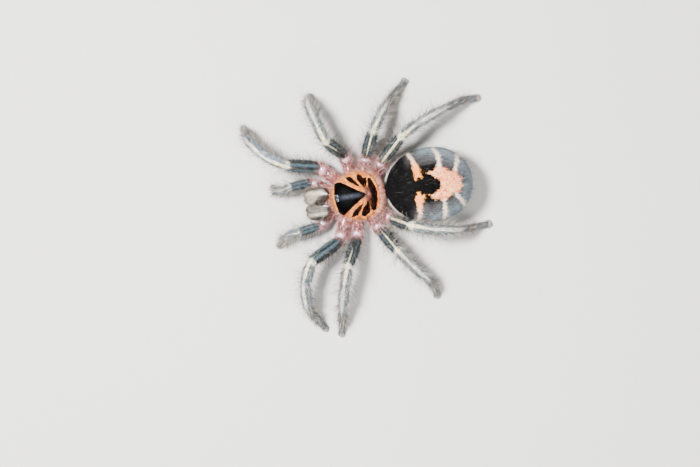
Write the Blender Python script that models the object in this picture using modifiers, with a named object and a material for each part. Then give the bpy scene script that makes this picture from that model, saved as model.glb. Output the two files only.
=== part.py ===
"""A life-size model of a dwarf tarantula, standing still on ten small flats.

The animal faces -Y, its left side is +X and the floor is z = 0. Sizes are in millimetres and become
metres where the geometry is made. The body is symmetric about the YZ plane, apart from its jaws. Each
limb is posed by the headings of its segments and the heights of its joints, and its segments are turned
shapes that meet at domed ends.
"""

import math

import bmesh
import bpy
from mathutils import Matrix, Vector

MM = 0.001

# ---- driving dimensions, in millimetres ----
CARAPACE_LENGTH = 8.2
CARAPACE_WIDTH = 8.1
CARAPACE_FRONT_Y = -8.9
CARAPACE_RIM_Z = 4.25
CARAPACE_CREST = 2.35
CARAPACE_FLOOR = 0.30

EYE_MOUND_Y = -7.75
EYE_MOUND_SIZE = (1.25, 0.85, 0.62)

STERNUM_CENTRE = (0.0, -4.35, 2.85)
STERNUM_SIZE = (4.2, 5.3, 2.0)

PEDICEL_RADIUS = 0.5
PEDICEL_START = (0.0, -1.25, 3.5)
PEDICEL_END = (0.0, 0.5, 3.75)

ABDOMEN_CENTRE = (0.0, 6.97, 6.3)
ABDOMEN_SIZE = (11.85, 14.0, 10.25)

SPINNERET_LENGTH = 2.1
SPINNERET_RADIUS = 0.36
SPINNERET_ROOT = (0.62, 11.6, 1.8)
SPINNERET_SPREAD = 0.12
SPINNERET_RISE = 0.35
SPINNERET_SIDES = 8

CHELICERA_SIZE = (2.5, 3.8, 2.75)
CHELICERA_CENTRE = (1.36, -10.98, 4.75)
# The jaws are held a little to the animal's left of its middle.
JAWS_ASIDE = 0.35
CHELICERA_DROOP = 0.75

FANG_ROOT = (1.2, -11.95, 2.55)
FANG_LENGTH = 2.4
FANG_RADIUS = 0.27

JOINT_GAP = 0.25
LIMB_SIDES = 10
DOME_ANGLES = (0, 48, 90)
DOME_SHARE = 0.62
HIP_Z = 3.05
FEMUR_BASE_Z = 3.15
PAD_RADIUS = 0.5
FLAT_DEPTH = 0.1

# Each pair of legs: the hip's place, the reach of coxa and trochanter, then the lengths and diameters of
# femur, patella, tibia, metatarsus and tarsus. The tarsus is measured to the centre of its round pad, and
# is as wide as the pad.
LEG_PAIRS = {
    1: {
        "hip": (2.2, -6.5),
        "reach": 4.8,
        "lengths": (6.7, 3.7, 4.3, 3.6, 2.1),
        "widths": (1.95, 1.8, 1.75, 1.35),
    },
    2: {
        "hip": (2.6, -4.9),
        "reach": 4.2,
        "lengths": (5.7, 3.5, 3.8, 3.1, 2.4),
        "widths": (1.85, 1.7, 1.7, 1.3),
    },
    3: {
        "hip": (2.6, -3.4),
        "reach": 3.7,
        "lengths": (5.2, 2.8, 3.7, 3.3, 2.1),
        "widths": (1.85, 1.6, 1.55, 1.2),
    },
    4: {
        "hip": (2.1, -2.0),
        "reach": 3.6,
        "lengths": (6.8, 3.3, 4.8, 5.3, 2.7),
        "widths": (1.8, 1.65, 1.55, 1.2),
    },
}

# The pose of each leg. Headings are degrees from straight out to the side, positive towards the rear, for
# the coxa, femur, patella, tibia, metatarsus and tarsus. Heights are those of the four joints after the
# femur's base.
LEG_POSES = {
    (1, "left"): {"headings": (-21, -62, -24, -2, 28, 32), "heights": (6.6, 6.0, 4.2, 1.7)},
    (1, "right"): {"headings": (-46, -81, -57, -38, -16, -17), "heights": (7.5, 7.7, 5.6, 2.4)},
    (2, "left"): {"headings": (-8, -27, -18, -14, -9, -12), "heights": (6.4, 5.4, 4.0, 1.7)},
    (2, "right"): {"headings": (-9, -48, -16, -15, 9, 24), "heights": (7.5, 7.9, 5.7, 2.7)},
    (3, "left"): {"headings": (28, 31, 35, 40, 37, 8), "heights": (6.0, 5.4, 4.5, 2.0)},
    (3, "right"): {"headings": (20, 24, 33, 36, 46, 46), "heights": (6.6, 5.6, 2.9, 1.0)},
    (4, "left"): {"headings": (46, 62, 71, 80, 91, 94), "heights": (9.2, 8.4, 5.9, 1.5)},
    (4, "right"): {"headings": (39, 47, 59, 68, 72, 89), "heights": (7.9, 6.7, 5.1, 2.0)},
}

PALP_HIP = (1.45, -7.95)
PALP_HIP_Z = 2.55
PALP_REACH = 4.1
PALP_LENGTHS = (3.7, 2.0, 2.1, 1.75)
PALP_WIDTHS = (1.35, 1.25, 1.2)
PALP_POSES = {
    "left": {"headings": (-53, -81, -84, -60, -50), "heights": (4.7, 3.4, 1.7)},
    "right": {"headings": (-64, -96, -104, -84, -36), "heights": (5.1, 3.8, 2.0)},
}

# Radius along a segment, as shares of half its diameter: at its start, at its belly and at its end.
SEGMENT_SHAPES = {
    "femur": (0.66, 1.0, 0.74),
    "patella": (0.72, 1.0, 0.78),
    "tibia": (0.78, 1.0, 0.78),
    "metatarsus": (0.84, 1.0, 0.86),
    "tarsus": (0.84, 1.0, 1.0),
}
SEGMENT_DEPTH = 1.08
HIP_SHARE = 1.02

MATERIALS = {
    "carapace": ((0.62, 0.30, 0.14), 0.5),
    "eye_mound": ((0.02, 0.02, 0.02), 0.2),
    "sternum": ((0.16, 0.10, 0.08), 0.6),
    "abdomen": ((0.05, 0.055, 0.06), 0.7),
    "coxa": ((0.55, 0.33, 0.30), 0.5),
    "leg": ((0.20, 0.23, 0.25), 0.6),
    "chelicera": ((0.38, 0.35, 0.30), 0.6),
    "fang": ((0.03, 0.015, 0.012), 0.25),
}

COLLECTION = "tarantula"
CUTTERS = "cutters"


# ---- scene and small helpers ----
def clear_scene():
    for obj in list(bpy.data.objects):
        bpy.data.objects.remove(obj)


def new_collection(name):
    made = bpy.data.collections.new(name)
    bpy.context.scene.collection.children.link(made)
    return made


def make_material(name, colour, roughness):
    material = bpy.data.materials.new(name)
    material.use_nodes = True
    shader = material.node_tree.nodes["Principled BSDF"]
    shader.inputs["Base Color"].default_value = (*colour, 1.0)
    shader.inputs["Roughness"].default_value = roughness
    return material


def smoothstep(low, high, value):
    share = min(1.0, max(0.0, (value - low) / (high - low)))
    return share * share * (3 - 2 * share)


def power(value, exponent):
    """Keeps the sign of value."""
    return math.copysign(abs(value) ** exponent, value)


class Maker:
    """Adds named objects to the tarantula, all parented to one empty at its centre on the floor."""

    def __init__(self):
        self.parts = new_collection(COLLECTION)
        self.cutters = new_collection(CUTTERS)
        self.origin = bpy.data.objects.new("tarantula_origin", None)
        self.parts.objects.link(self.origin)
        self.materials = {}
        for name, (colour, roughness) in MATERIALS.items():
            self.materials[name] = make_material(name, colour, roughness)

    def add(self, name, data, material):
        obj = bpy.data.objects.new(name, data)
        data.materials.append(self.materials[material])
        self.parts.objects.link(obj)
        obj.parent = self.origin
        return obj

    def add_cutter(self, name, data):
        obj = bpy.data.objects.new(name, data)
        obj.parent = self.origin
        return self.keep_as_cutter(obj)

    def move_to_cutters(self, obj):
        self.parts.objects.unlink(obj)
        return self.keep_as_cutter(obj)

    def keep_as_cutter(self, obj):
        self.cutters.objects.link(obj)
        obj.hide_render = True
        obj.display_type = "WIRE"
        return obj


def boolean(obj, other, operation):
    modifier = obj.modifiers.new(operation.lower(), "BOOLEAN")
    modifier.operation = operation
    modifier.object = other
    return modifier


def shaped_sphere(name, columns, rows, shape):
    """A UV sphere whose every point is moved to shape(x, y, z), in millimetres."""
    mesh = bpy.data.meshes.new(name)
    sphere = bmesh.new()
    bmesh.ops.create_uvsphere(sphere, u_segments=columns, v_segments=rows, radius=1.0)
    for vertex in sphere.verts:
        vertex.co = Vector(shape(*vertex.co)) * MM
    if sphere.calc_volume(signed=True) < 0:
        bmesh.ops.reverse_faces(sphere, faces=sphere.faces)
    sphere.to_mesh(mesh)
    sphere.free()
    mesh.shade_smooth()
    return mesh


def place(obj, start, direction, depth=1.0):
    """Puts a shape turned about its own Z at start, with Z along direction and its sides level."""
    along = direction.normalized()
    side = Vector((0, 0, 1)).cross(along).normalized()
    up = along.cross(side)
    turn = Matrix((side, up, along)).transposed()
    obj.location = start * MM
    obj.rotation_euler = turn.to_euler()
    obj.scale = (1.0, depth, 1.0)
    return obj


def turned(maker, name, profile, material, sides=LIMB_SIDES):
    """An object turned about its own Z from (radius, height) points, from its top down its outer side."""
    mesh = bpy.data.meshes.new(name)
    points = [(radius * MM, 0.0, height * MM) for radius, height in profile]
    edges = [(i, i + 1) for i in range(len(points) - 1)]
    mesh.from_pydata(points, edges, [])
    obj = maker.add(name, mesh, material)
    screw = obj.modifiers.new("turned", "SCREW")
    screw.axis = "Z"
    screw.steps = sides
    screw.render_steps = sides
    screw.use_merge_vertices = True
    screw.merge_threshold = 0.00001
    screw.use_smooth_shade = True
    return obj


# ---- body ----
def carapace_crest(y):
    """Height of the carapace's midline over its rim, for y from -1 at its front to 1 at its rear."""
    brow = smoothstep(-1.04, -0.72, y)
    fovea_dip = 0.16 * math.exp(-((y - 0.28) / 0.16) ** 2)
    slope = 1.0 - 0.46 * smoothstep(-0.35, 0.95, y)
    return CARAPACE_CREST * ((0.55 + 0.45 * brow) * slope - fovea_dip)


def carapace_shape(x, y, z):
    """The shield: blunt and narrower at the head, round behind, domed over a thin floor."""
    ring = math.hypot(x, y)
    if ring < 1e-6:
        across, along = 0.0, 0.0
    else:
        across, along = power(x / ring, 0.84), power(y / ring, 0.80)
    reach = min(1.0, ring) ** 0.9
    narrow = 1.0 - 0.23 * smoothstep(0.15, -0.95, along * reach)
    place_x = across * reach * CARAPACE_WIDTH / 2 * narrow
    place_y = along * reach * CARAPACE_LENGTH / 2
    middle_y = CARAPACE_FRONT_Y + CARAPACE_LENGTH / 2
    if z < 0:
        height = -CARAPACE_FLOOR * (-z) ** 0.5
    else:
        height = carapace_crest(along * reach) * (1 - reach**2.6) ** 0.62
    return place_x, middle_y + place_y, CARAPACE_RIM_Z + CARAPACE_FLOOR + height


def eye_mound_z():
    """The mound's centre lies on the head's crest."""
    share = (EYE_MOUND_Y - CARAPACE_FRONT_Y) / CARAPACE_LENGTH * 2 - 1
    return CARAPACE_RIM_Z + CARAPACE_FLOOR + carapace_crest(share) * (1 - abs(share) ** 2.6) ** 0.62


def eye_mound_mesh(name, margin):
    """The low mound that carries the eight eyes, larger all round by a margin."""
    half = [size / 2 + margin for size in EYE_MOUND_SIZE]
    centre = (0.0, EYE_MOUND_Y, eye_mound_z())
    return shaped_sphere(name, 12, 6, lambda *point: [c + p * h for c, p, h in zip(centre, point, half)])


def add_carapace(maker):
    """The shield, with a socket in its head for the eye mound."""
    carapace = maker.add("carapace", shaped_sphere("carapace", 24, 12, carapace_shape), "carapace")
    socket = maker.add_cutter("eye_socket", eye_mound_mesh("eye_socket", JOINT_GAP))
    boolean(carapace, socket, "DIFFERENCE")
    maker.add("eye_mound", eye_mound_mesh("eye_mound", 0.0), "eye_mound")


def sternum_shape(x, y, z):
    """The shield under the prosoma: widest between the second and third hips, pointed behind."""
    width, length, height = STERNUM_SIZE
    point = 1.0 - 0.45 * smoothstep(0.0, 1.0, y)
    return (
        STERNUM_CENTRE[0] + power(x, 0.9) * width / 2 * point,
        STERNUM_CENTRE[1] + y * length / 2,
        STERNUM_CENTRE[2] + power(z, 0.7) * height / 2,
    )


def abdomen_shape(x, y, z):
    """An egg, a little fuller behind and flatter underneath."""
    width, length, height = ABDOMEN_SIZE
    fuller = 1.0 + 0.05 * y * (1 - y * y)
    belly = 0.97 if z < 0 else 1.0
    return (
        ABDOMEN_CENTRE[0] + power(x, 0.97) * width / 2 * fuller,
        ABDOMEN_CENTRE[1] + power(y, 0.97) * length / 2,
        ABDOMEN_CENTRE[2] + power(z, 0.96) * height / 2 * belly * fuller,
    )


def add_trunk(maker):
    maker.add("sternum", shaped_sphere("sternum", 12, 8, sternum_shape), "sternum")
    maker.add("abdomen", shaped_sphere("abdomen", 26, 14, abdomen_shape), "abdomen")
    start, end = Vector(PEDICEL_START), Vector(PEDICEL_END)
    length = (end - start).length
    profile = domed_profile(length, [(0.0, 0.8), (0.5, 1.0), (1.0, 0.8)], PEDICEL_RADIUS)
    place(turned(maker, "pedicel", profile, "coxa"), start, end - start)


def chelicera_shape(side, x, y, z):
    """One jaw: a long block with round corners that droops towards the fang."""
    width, length, height = CHELICERA_SIZE
    forward = (1 - y) / 2
    droop = CHELICERA_DROOP * smoothstep(0.25, 1.0, forward)
    taper = 1.0 - 0.12 * forward**2
    return (
        JAWS_ASIDE + side * (CHELICERA_CENTRE[0] + power(x, 0.8) * width / 2 * taper),
        CHELICERA_CENTRE[1] + power(y, 0.8) * length / 2,
        CHELICERA_CENTRE[2] + power(z, 0.8) * height / 2 * taper - droop,
    )


def add_jaws(maker):
    for side, word in ((1, "left"), (-1, "right")):
        name = f"chelicera_{word}"
        mesh = shaped_sphere(name, 12, 8, lambda x, y, z, s=side: chelicera_shape(s, x, y, z))
        maker.add(name, mesh, "chelicera")
        add_fang(maker, side, word)


def add_fang(maker, side, word):
    """A tapering quarter turn that folds back under its jaw."""
    curve = bpy.data.curves.new(f"fang_{word}", "CURVE")
    curve.dimensions = "3D"
    curve.bevel_depth = FANG_RADIUS * MM
    curve.bevel_resolution = 1
    curve.use_fill_caps = True
    spline = curve.splines.new("POLY")
    steps = 7
    spline.points.add(steps)
    bend_radius = FANG_LENGTH / (math.pi / 2)
    for i, point in enumerate(spline.points):
        angle = math.pi / 2 * i / steps
        back = bend_radius * (1 - math.cos(angle))
        down = bend_radius * 0.5 * math.sin(angle)
        place_x = JAWS_ASIDE + side * (FANG_ROOT[0] - 0.2 * i / steps)
        point.co = (place_x * MM, (FANG_ROOT[1] + back) * MM, (FANG_ROOT[2] - down) * MM, 1.0)
        point.radius = 1.0 - 0.55 * i / steps
    maker.add(f"fang_{word}", curve, "fang")


def add_spinnerets(maker):
    for side, word in ((1, "left"), (-1, "right")):
        start = Vector((side * SPINNERET_ROOT[0], *SPINNERET_ROOT[1:]))
        profile = domed_profile(SPINNERET_LENGTH, [(0.0, 1.0), (0.5, 0.85), (1.0, 0.6)], SPINNERET_RADIUS)
        spinneret = turned(maker, f"spinneret_{word}", profile, "abdomen", SPINNERET_SIDES)
        place(spinneret, start, Vector((side * SPINNERET_SPREAD, 1.0, SPINNERET_RISE)))


# ---- limbs ----
def domed_profile(length, shares, radius, pad=False):
    """A turned outline from its top down: shares are (place along, share of radius), with a dome at each end.

    The domes are flatter than half balls, apart from a pad's, which is a half ball.
    """
    def half_width(at):
        for (low, first), (high, second) in zip(shares, shares[1:]):
            if at <= high:
                return radius * (first + (second - first) * smoothstep(low, high, at))
        return radius * shares[-1][1]

    dome_start = half_width(0.0) * DOME_SHARE
    dome_end = half_width(1.0) * (1.0 if pad else DOME_SHARE)
    heights = [dome_start * (1 - math.cos(math.radians(a))) for a in DOME_ANGLES]
    inner = [at * length for at, _ in shares[1:-1]]
    heights += [h for h in inner if dome_start * 1.15 < h < length - dome_end * 1.15]
    heights += [length - dome_end * (1 - math.cos(math.radians(a))) for a in reversed(DOME_ANGLES)]
    points = []
    for height in heights:
        wide = half_width(height / length)
        from_start = min(1.0, height / dome_start)
        from_end = min(1.0, (length - height) / dome_end)
        cap = math.sqrt(max(0.0, 1 - (1 - from_start) ** 2)) * math.sqrt(max(0.0, 1 - (1 - from_end) ** 2))
        points.append((wide * cap, height))
    points[0] = (0.0, 0.0)
    points[-1] = (0.0, length)
    return points[::-1]


def heading_vector(side, degrees):
    angle = math.radians(degrees)
    return Vector((side * math.cos(angle), math.sin(angle), 0.0))


def limb_joints(side, hip, hip_z, reach, lengths, pose):
    """The limb's joints from hip to pad. Each segment keeps its length, and the heights settle its slope."""
    levels = (FEMUR_BASE_Z, *pose["heights"], PAD_RADIUS - FLAT_DEPTH)
    joints = [Vector((side * hip[0], hip[1], hip_z))]
    for length, heading, level in zip((reach, *lengths), pose["headings"], levels):
        rise = level - joints[-1].z
        run = math.sqrt(max(length * length - rise * rise, 0.0))
        joints.append(joints[-1] + heading_vector(side, heading) * run + Vector((0, 0, rise)))
    return joints


def end_gap(radius, bend):
    """How far a domed end stops short of its joint, to stay clear of the plane that halves the bend."""
    dome = radius * DOME_SHARE
    reach = math.hypot(dome * math.cos(bend / 2), radius * math.sin(bend / 2))
    return (JOINT_GAP / 2 + reach) / math.cos(bend / 2) - dome


def bend_at(joints, i):
    """The angle by which the limb turns at joint i, in radians."""
    if i in (0, len(joints) - 1):
        return 0.0
    return (joints[i] - joints[i - 1]).angle(joints[i + 1] - joints[i])


def add_segment(maker, name, joints, i, shares, width, material, depth=SEGMENT_DEPTH, pad=0.0):
    """The limb segment from joint i to the next, short of both, or past the second by a pad."""
    start, end = joints[i], joints[i + 1]
    along = (end - start).normalized()
    first = end_gap(width / 2 * shares[0][1], bend_at(joints, i))
    last = -pad if pad else end_gap(width / 2 * shares[-1][1], bend_at(joints, i + 1))
    length = (end - start).length - first - last
    segment = turned(maker, name, domed_profile(length, shares, width / 2, pad > 0), material)
    return place(segment, start + along * first, along, depth)


def add_hip(maker, name, joints, width):
    """Coxa and trochanter as one turned piece with a waist between them."""
    shares = [(0.0, 0.66), (0.40, 0.92), (0.64, 0.80), (0.84, 1.0), (1.0, 0.84)]
    return add_segment(maker, name, joints, 0, shares, width, "coxa", depth=1.0)


def segment_shares(kind):
    start, belly, end = SEGMENT_SHAPES[kind]
    return [(0.0, start), (0.3, belly), (0.62, belly * 0.98), (1.0, end)]


def joined(maker, keep, other):
    """Makes two overlapping segments one body."""
    maker.move_to_cutters(other)
    boolean(keep, other, "UNION")
    return keep


def add_floor_cutter(maker):
    """A slab whose top is the floor. It planes the flats under the feet."""
    mesh = bpy.data.meshes.new("floor_cutter")
    slab = bmesh.new()
    bmesh.ops.create_cube(slab, size=1.0)
    for vertex in slab.verts:
        vertex.co = Vector((vertex.co.x * 60, vertex.co.y * 60, vertex.co.z * 2 - 1)) * MM
    slab.to_mesh(mesh)
    slab.free()
    return maker.add_cutter("floor_cutter", mesh)


def add_leg(maker, pair, word, floor):
    side = 1 if word == "left" else -1
    sizes = LEG_PAIRS[pair]
    widths = sizes["widths"]
    joints = limb_joints(side, sizes["hip"], HIP_Z, sizes["reach"], sizes["lengths"], LEG_POSES[(pair, word)])
    stem = f"leg_{pair}_{word}"
    add_hip(maker, f"{stem}_coxa", joints, widths[0] * HIP_SHARE)
    for i, kind in enumerate(("femur", "patella", "tibia")):
        add_segment(maker, f"{stem}_{kind}", joints, i + 1, segment_shares(kind), widths[i], "leg")
    add_foot(maker, f"{stem}_foot", joints, 4, "metatarsus", widths[3], floor)


def add_foot(maker, name, joints, i, kind, width, floor):
    """The segment before the tarsus and the tarsus as one bent piece, planed flat where it stands."""
    shin = add_segment(maker, name, joints, i, segment_shares(kind), width, "leg", pad=width * 0.3)
    sole = add_segment(
        maker, f"{name}_sole", joints, i + 1, segment_shares("tarsus"),
        PAD_RADIUS * 2, "leg", depth=1.0, pad=PAD_RADIUS,
    )
    boolean(joined(maker, shin, sole), floor, "DIFFERENCE")


def add_palp(maker, word, floor):
    side = 1 if word == "left" else -1
    joints = limb_joints(side, PALP_HIP, PALP_HIP_Z, PALP_REACH, PALP_LENGTHS, PALP_POSES[word])
    stem = f"palp_{word}"
    add_hip(maker, f"{stem}_coxa", joints, PALP_WIDTHS[0])
    for i, kind in enumerate(("femur", "patella")):
        add_segment(maker, f"{stem}_{kind}", joints, i + 1, segment_shares(kind), PALP_WIDTHS[i], "leg")
    add_foot(maker, f"{stem}_foot", joints, 3, "tibia", PALP_WIDTHS[2], floor)


# ---- placing the whole ----
def centre_on_floor(maker):
    """Moves the origin empty so that the middle of the whole model's plan lies at x = y = 0."""
    bpy.context.view_layer.update()
    graph = bpy.context.evaluated_depsgraph_get()
    corners = []
    for obj in maker.parts.objects:
        if obj.type == "EMPTY":
            continue
        shown = obj.evaluated_get(graph)
        mesh = shown.to_mesh()
        corners += [shown.matrix_world @ vertex.co for vertex in mesh.vertices]
        shown.to_mesh_clear()
    for axis in (0, 1):
        values = [corner[axis] for corner in corners]
        maker.origin.location[axis] = -(min(values) + max(values)) / 2


def main():
    clear_scene()
    maker = Maker()
    floor = add_floor_cutter(maker)
    add_carapace(maker)
    add_trunk(maker)
    add_jaws(maker)
    add_spinnerets(maker)
    for pair in LEG_PAIRS:
        for word in ("left", "right"):
            add_leg(maker, pair, word, floor)
    for word in ("left", "right"):
        add_palp(maker, word, floor)
    centre_on_floor(maker)


main()
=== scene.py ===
"""The looks of the dwarf tarantula: skins, shell plates, eyes, claws, coats of hair, light and camera.

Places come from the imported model. Lengths in this file are millimetres, and new_mesh makes them metres.
The animal faces -Y and its left side is +X. Marks are drawn as signed distances, positive inside, that are
stored on the points of the skin and at the roots of its hairs, so both carry the same marks.
"""

import math

import bpy
import numpy as np
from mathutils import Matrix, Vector


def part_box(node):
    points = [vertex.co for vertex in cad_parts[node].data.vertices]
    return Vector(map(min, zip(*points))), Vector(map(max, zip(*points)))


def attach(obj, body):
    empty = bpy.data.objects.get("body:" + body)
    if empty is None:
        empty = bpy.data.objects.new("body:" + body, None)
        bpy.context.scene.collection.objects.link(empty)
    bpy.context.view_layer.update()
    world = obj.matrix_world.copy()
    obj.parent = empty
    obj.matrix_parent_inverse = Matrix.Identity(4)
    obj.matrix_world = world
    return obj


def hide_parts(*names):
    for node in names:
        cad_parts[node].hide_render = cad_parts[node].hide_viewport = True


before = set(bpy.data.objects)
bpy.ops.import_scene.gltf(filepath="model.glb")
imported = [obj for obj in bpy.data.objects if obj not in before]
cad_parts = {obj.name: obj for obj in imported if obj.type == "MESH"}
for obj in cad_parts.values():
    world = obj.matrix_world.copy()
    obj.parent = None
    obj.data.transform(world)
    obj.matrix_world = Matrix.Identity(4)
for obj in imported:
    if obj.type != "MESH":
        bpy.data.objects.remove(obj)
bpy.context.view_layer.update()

MM = 0.001
SIDES = {"left": 1, "right": -1}
RANDOM = np.random.default_rng(20)

# ---- the coats, in millimetres ----
LIMB_COAT = 0.05
BODY_COAT = 0.07
PLATE_COAT = 0.04
HAIR_WIDTH = 0.022
ROOT_SINK = 0.02
# Half the size of a hair's patch on its coat's map, and the map's empty edge, as shares of the map.
PATCH = 0.0016
MAP_EDGE = 0.01

# ---- limbs ----
LEG_NODES = ("coxa", "femur", "patella", "tibia", "foot")
PALP_NODES = ("coxa", "femur", "patella", "foot")
SEGMENTS = ("coxa", "trochanter", "femur", "patella", "tibia", "metatarsus", "tarsus")
PALP_SEGMENTS = ("coxa", "trochanter", "femur", "patella", "tibia", "tarsus")
LIMB_SIDES = 28
RING_STEP = 0.13
FLOOR_CLEARANCE = 0.02
ROOT_DEPTH = 1.1
LIMB_HEIGHT = 1.06
PAD_HEIGHT = 0.36
PAD_REACH = 0.38
PINCH_WIDTH = 0.16

# Shares of a segment's half width at its start, front half, rear half and end.
SEGMENT_SHAPES = {
    "coxa": (0.80, 0.94, 0.96, 0.86),
    "trochanter": (0.92, 1.04, 1.02, 0.86),
    "femur": (0.80, 1.0, 0.98, 0.82),
    "patella": (0.84, 1.0, 0.98, 0.88),
    "tibia": (0.88, 1.0, 0.96, 0.84),
    "metatarsus": (0.88, 1.0, 0.98, 0.92),
    "tarsus": (0.94, 0.98, 0.92, 0.82),
}
# How far the top line of each leg is turned towards the animal's front, in degrees.
LEG_TURNS = {1: 26, 2: 10, 3: 0, 4: -4, "palp": 0}
TROCHANTER_SHARE = 0.67
PALP_HAIR = 0.55
# How far along a foot it bends from metatarsus to tarsus, or from tibia to tarsus on a palp.
BEND_SHARES = {1: 0.58, 2: 0.52, 3: 0.56, 4: 0.63, "palp": 0.49}
# Widths of the pale stripe along each limb's top, by segment number from 0, the hip, to 7, the tip.
KNEE_TO_FOOT = (2.94, 2.98, 3.1, 3.5, 3.94, 4.02, 4.3, 4.8, 5.1)
STRIPES = {
    1: ((2.0, 2.5, *KNEE_TO_FOOT, 5.6),
        (-0.6, -0.3, 0.1, 0.3, 0.6, 0.56, 0.3, 0.36, 0.62, 0.56, 0.1, -0.5)),
    2: ((2.0, 2.35, 2.6, *KNEE_TO_FOOT, 5.6),
        (-0.5, -0.1, 0.16, 0.22, 0.3, 0.6, 0.56, 0.3, 0.36, 0.62, 0.56, 0.2, -0.5)),
    3: ((1.9, 2.2, 2.6, *KNEE_TO_FOOT, 5.6),
        (-0.3, 0.1, 0.26, 0.28, 0.34, 0.56, 0.5, 0.3, 0.36, 0.56, 0.5, 0.2, -0.5)),
    4: ((1.9, 2.1, 2.6, *KNEE_TO_FOOT, 5.8),
        (-0.3, 0.3, 0.42, 0.36, 0.4, 0.6, 0.5, 0.34, 0.36, 0.56, 0.54, 0.3, -0.5)),
    "palp": ((2.0, 2.5, 2.95, 3.0, 3.5, 4.0, 4.7, 5.2), (-0.6, -0.3, -0.1, 0.2, 0.16, 0.1, 0.0, -0.5)),
}
# Offsets of the edges of the painted blue-grey sheen bands at each side of the top line, at these segment
# numbers.
SHEEN_BAND_NUMBERS = (2.0, 2.15, 2.9, 3.0)
SHEEN_BANDS = {
    1: ((0.28, 0.2, 0.24, 0.3), (0.3, 0.72, 0.72, 0.5)),
    2: ((0.4, 0.42, 0.42, 0.4), (0.4, 0.6, 0.6, 0.5)),
    3: ((0.4, 0.4, 0.42, 0.4), (0.4, 0.64, 0.64, 0.5)),
    4: ((0.44, 0.48, 0.48, 0.46), (0.45, 0.66, 0.66, 0.5)),
    "palp": ((0.1, 0.1, 0.12, 0.2), (0.2, 0.5, 0.5, 0.4)),
}

# ---- marks on the abdomen: strokes of (x, y, width) from its centre, seen from above ----
ABDOMEN_BANDS = {
    "front_right": ((-1.75, -1.8, 0.9), (-2.5, -1.84, 1.05), (-3.3, -1.95, 0.8), (-4.2, -2.25, 0.5),
                    (-5.1, -2.65, 0.4), (-5.7, -3.05, 0.3)),
    "front_right_lobes": ((-0.85, -2.15, 0.3), (-1.4, -2.05, 0.5), (-2.1, -1.95, 0.75)),
    "front_right_fork": ((-1.15, -1.2, 0.25), (-1.6, -1.4, 0.45), (-2.2, -1.7, 0.7)),
    "front_left": ((1.95, -2.05, 1.15), (2.6, -2.02, 1.1), (3.2, -2.05, 0.8), (4.2, -2.15, 0.6),
                   (5.0, -2.45, 0.42), (5.7, -2.9, 0.3)),
    "front_left_lobes": ((1.2, -2.05, 0.4), (1.5, -1.95, 0.7), (2.0, -1.95, 1.0)),
    "front_left_fork": ((1.6, -1.15, 0.3), (1.75, -1.4, 0.6), (2.2, -1.7, 0.8)),
    "middle_right": ((-2.2, 1.7, 0.7), (-3.4, 1.88, 0.55), (-4.2, 1.9, 0.65), (-5.0, 1.65, 0.5),
                     (-5.7, 1.25, 0.35)),
    "middle_left": ((2.4, 1.85, 0.7), (3.4, 1.75, 0.4), (4.3, 1.8, 0.6), (5.1, 1.7, 0.55), (5.8, 1.4, 0.35)),
    "rear_right": ((-1.3, 4.1, 0.45), (-2.2, 4.45, 0.5), (-3.0, 4.85, 0.66), (-3.7, 4.95, 0.66),
                   (-4.3, 4.8, 0.45)),
    "rear_left": ((1.8, 3.7, 0.4), (2.5, 4.1, 0.5), (3.2, 4.65, 0.66), (3.9, 4.95, 0.6), (4.4, 4.95, 0.4)),
    "speck_right": ((-1.95, -0.62, 0.02), (-1.8, -0.48, 0.06)),
    "speck_left": ((1.75, -0.5, 0.02), (1.7, -0.35, 0.08)),
}
ABDOMEN_PATCH = (
    (-1.85, -0.15), (-2.05, 0.74), (-2.4, 1.33), (-2.37, 2.18), (-2.07, 2.78), (-1.6, 3.15), (-1.45, 3.55),
    (-1.57, 4.1), (-0.87, 4.54), (-0.35, 4.8), (-0.24, 5.35), (0.1, 4.88), (0.6, 5.0), (1.0, 5.2),
    (1.2, 4.8), (1.57, 4.6), (1.86, 4.3), (1.96, 3.57), (2.21, 3.1), (2.44, 2.53), (2.72, 2.18),
    (2.69, 1.32), (2.41, 0.82), (2.54, 0.28), (1.95, -0.17), (1.63, 0.51), (1.17, 0.99), (1.0, 1.4),
    (0.42, 1.66), (0.0, 1.68), (-0.45, 1.45), (-0.84, 0.97), (-1.36, 0.32),
)

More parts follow.
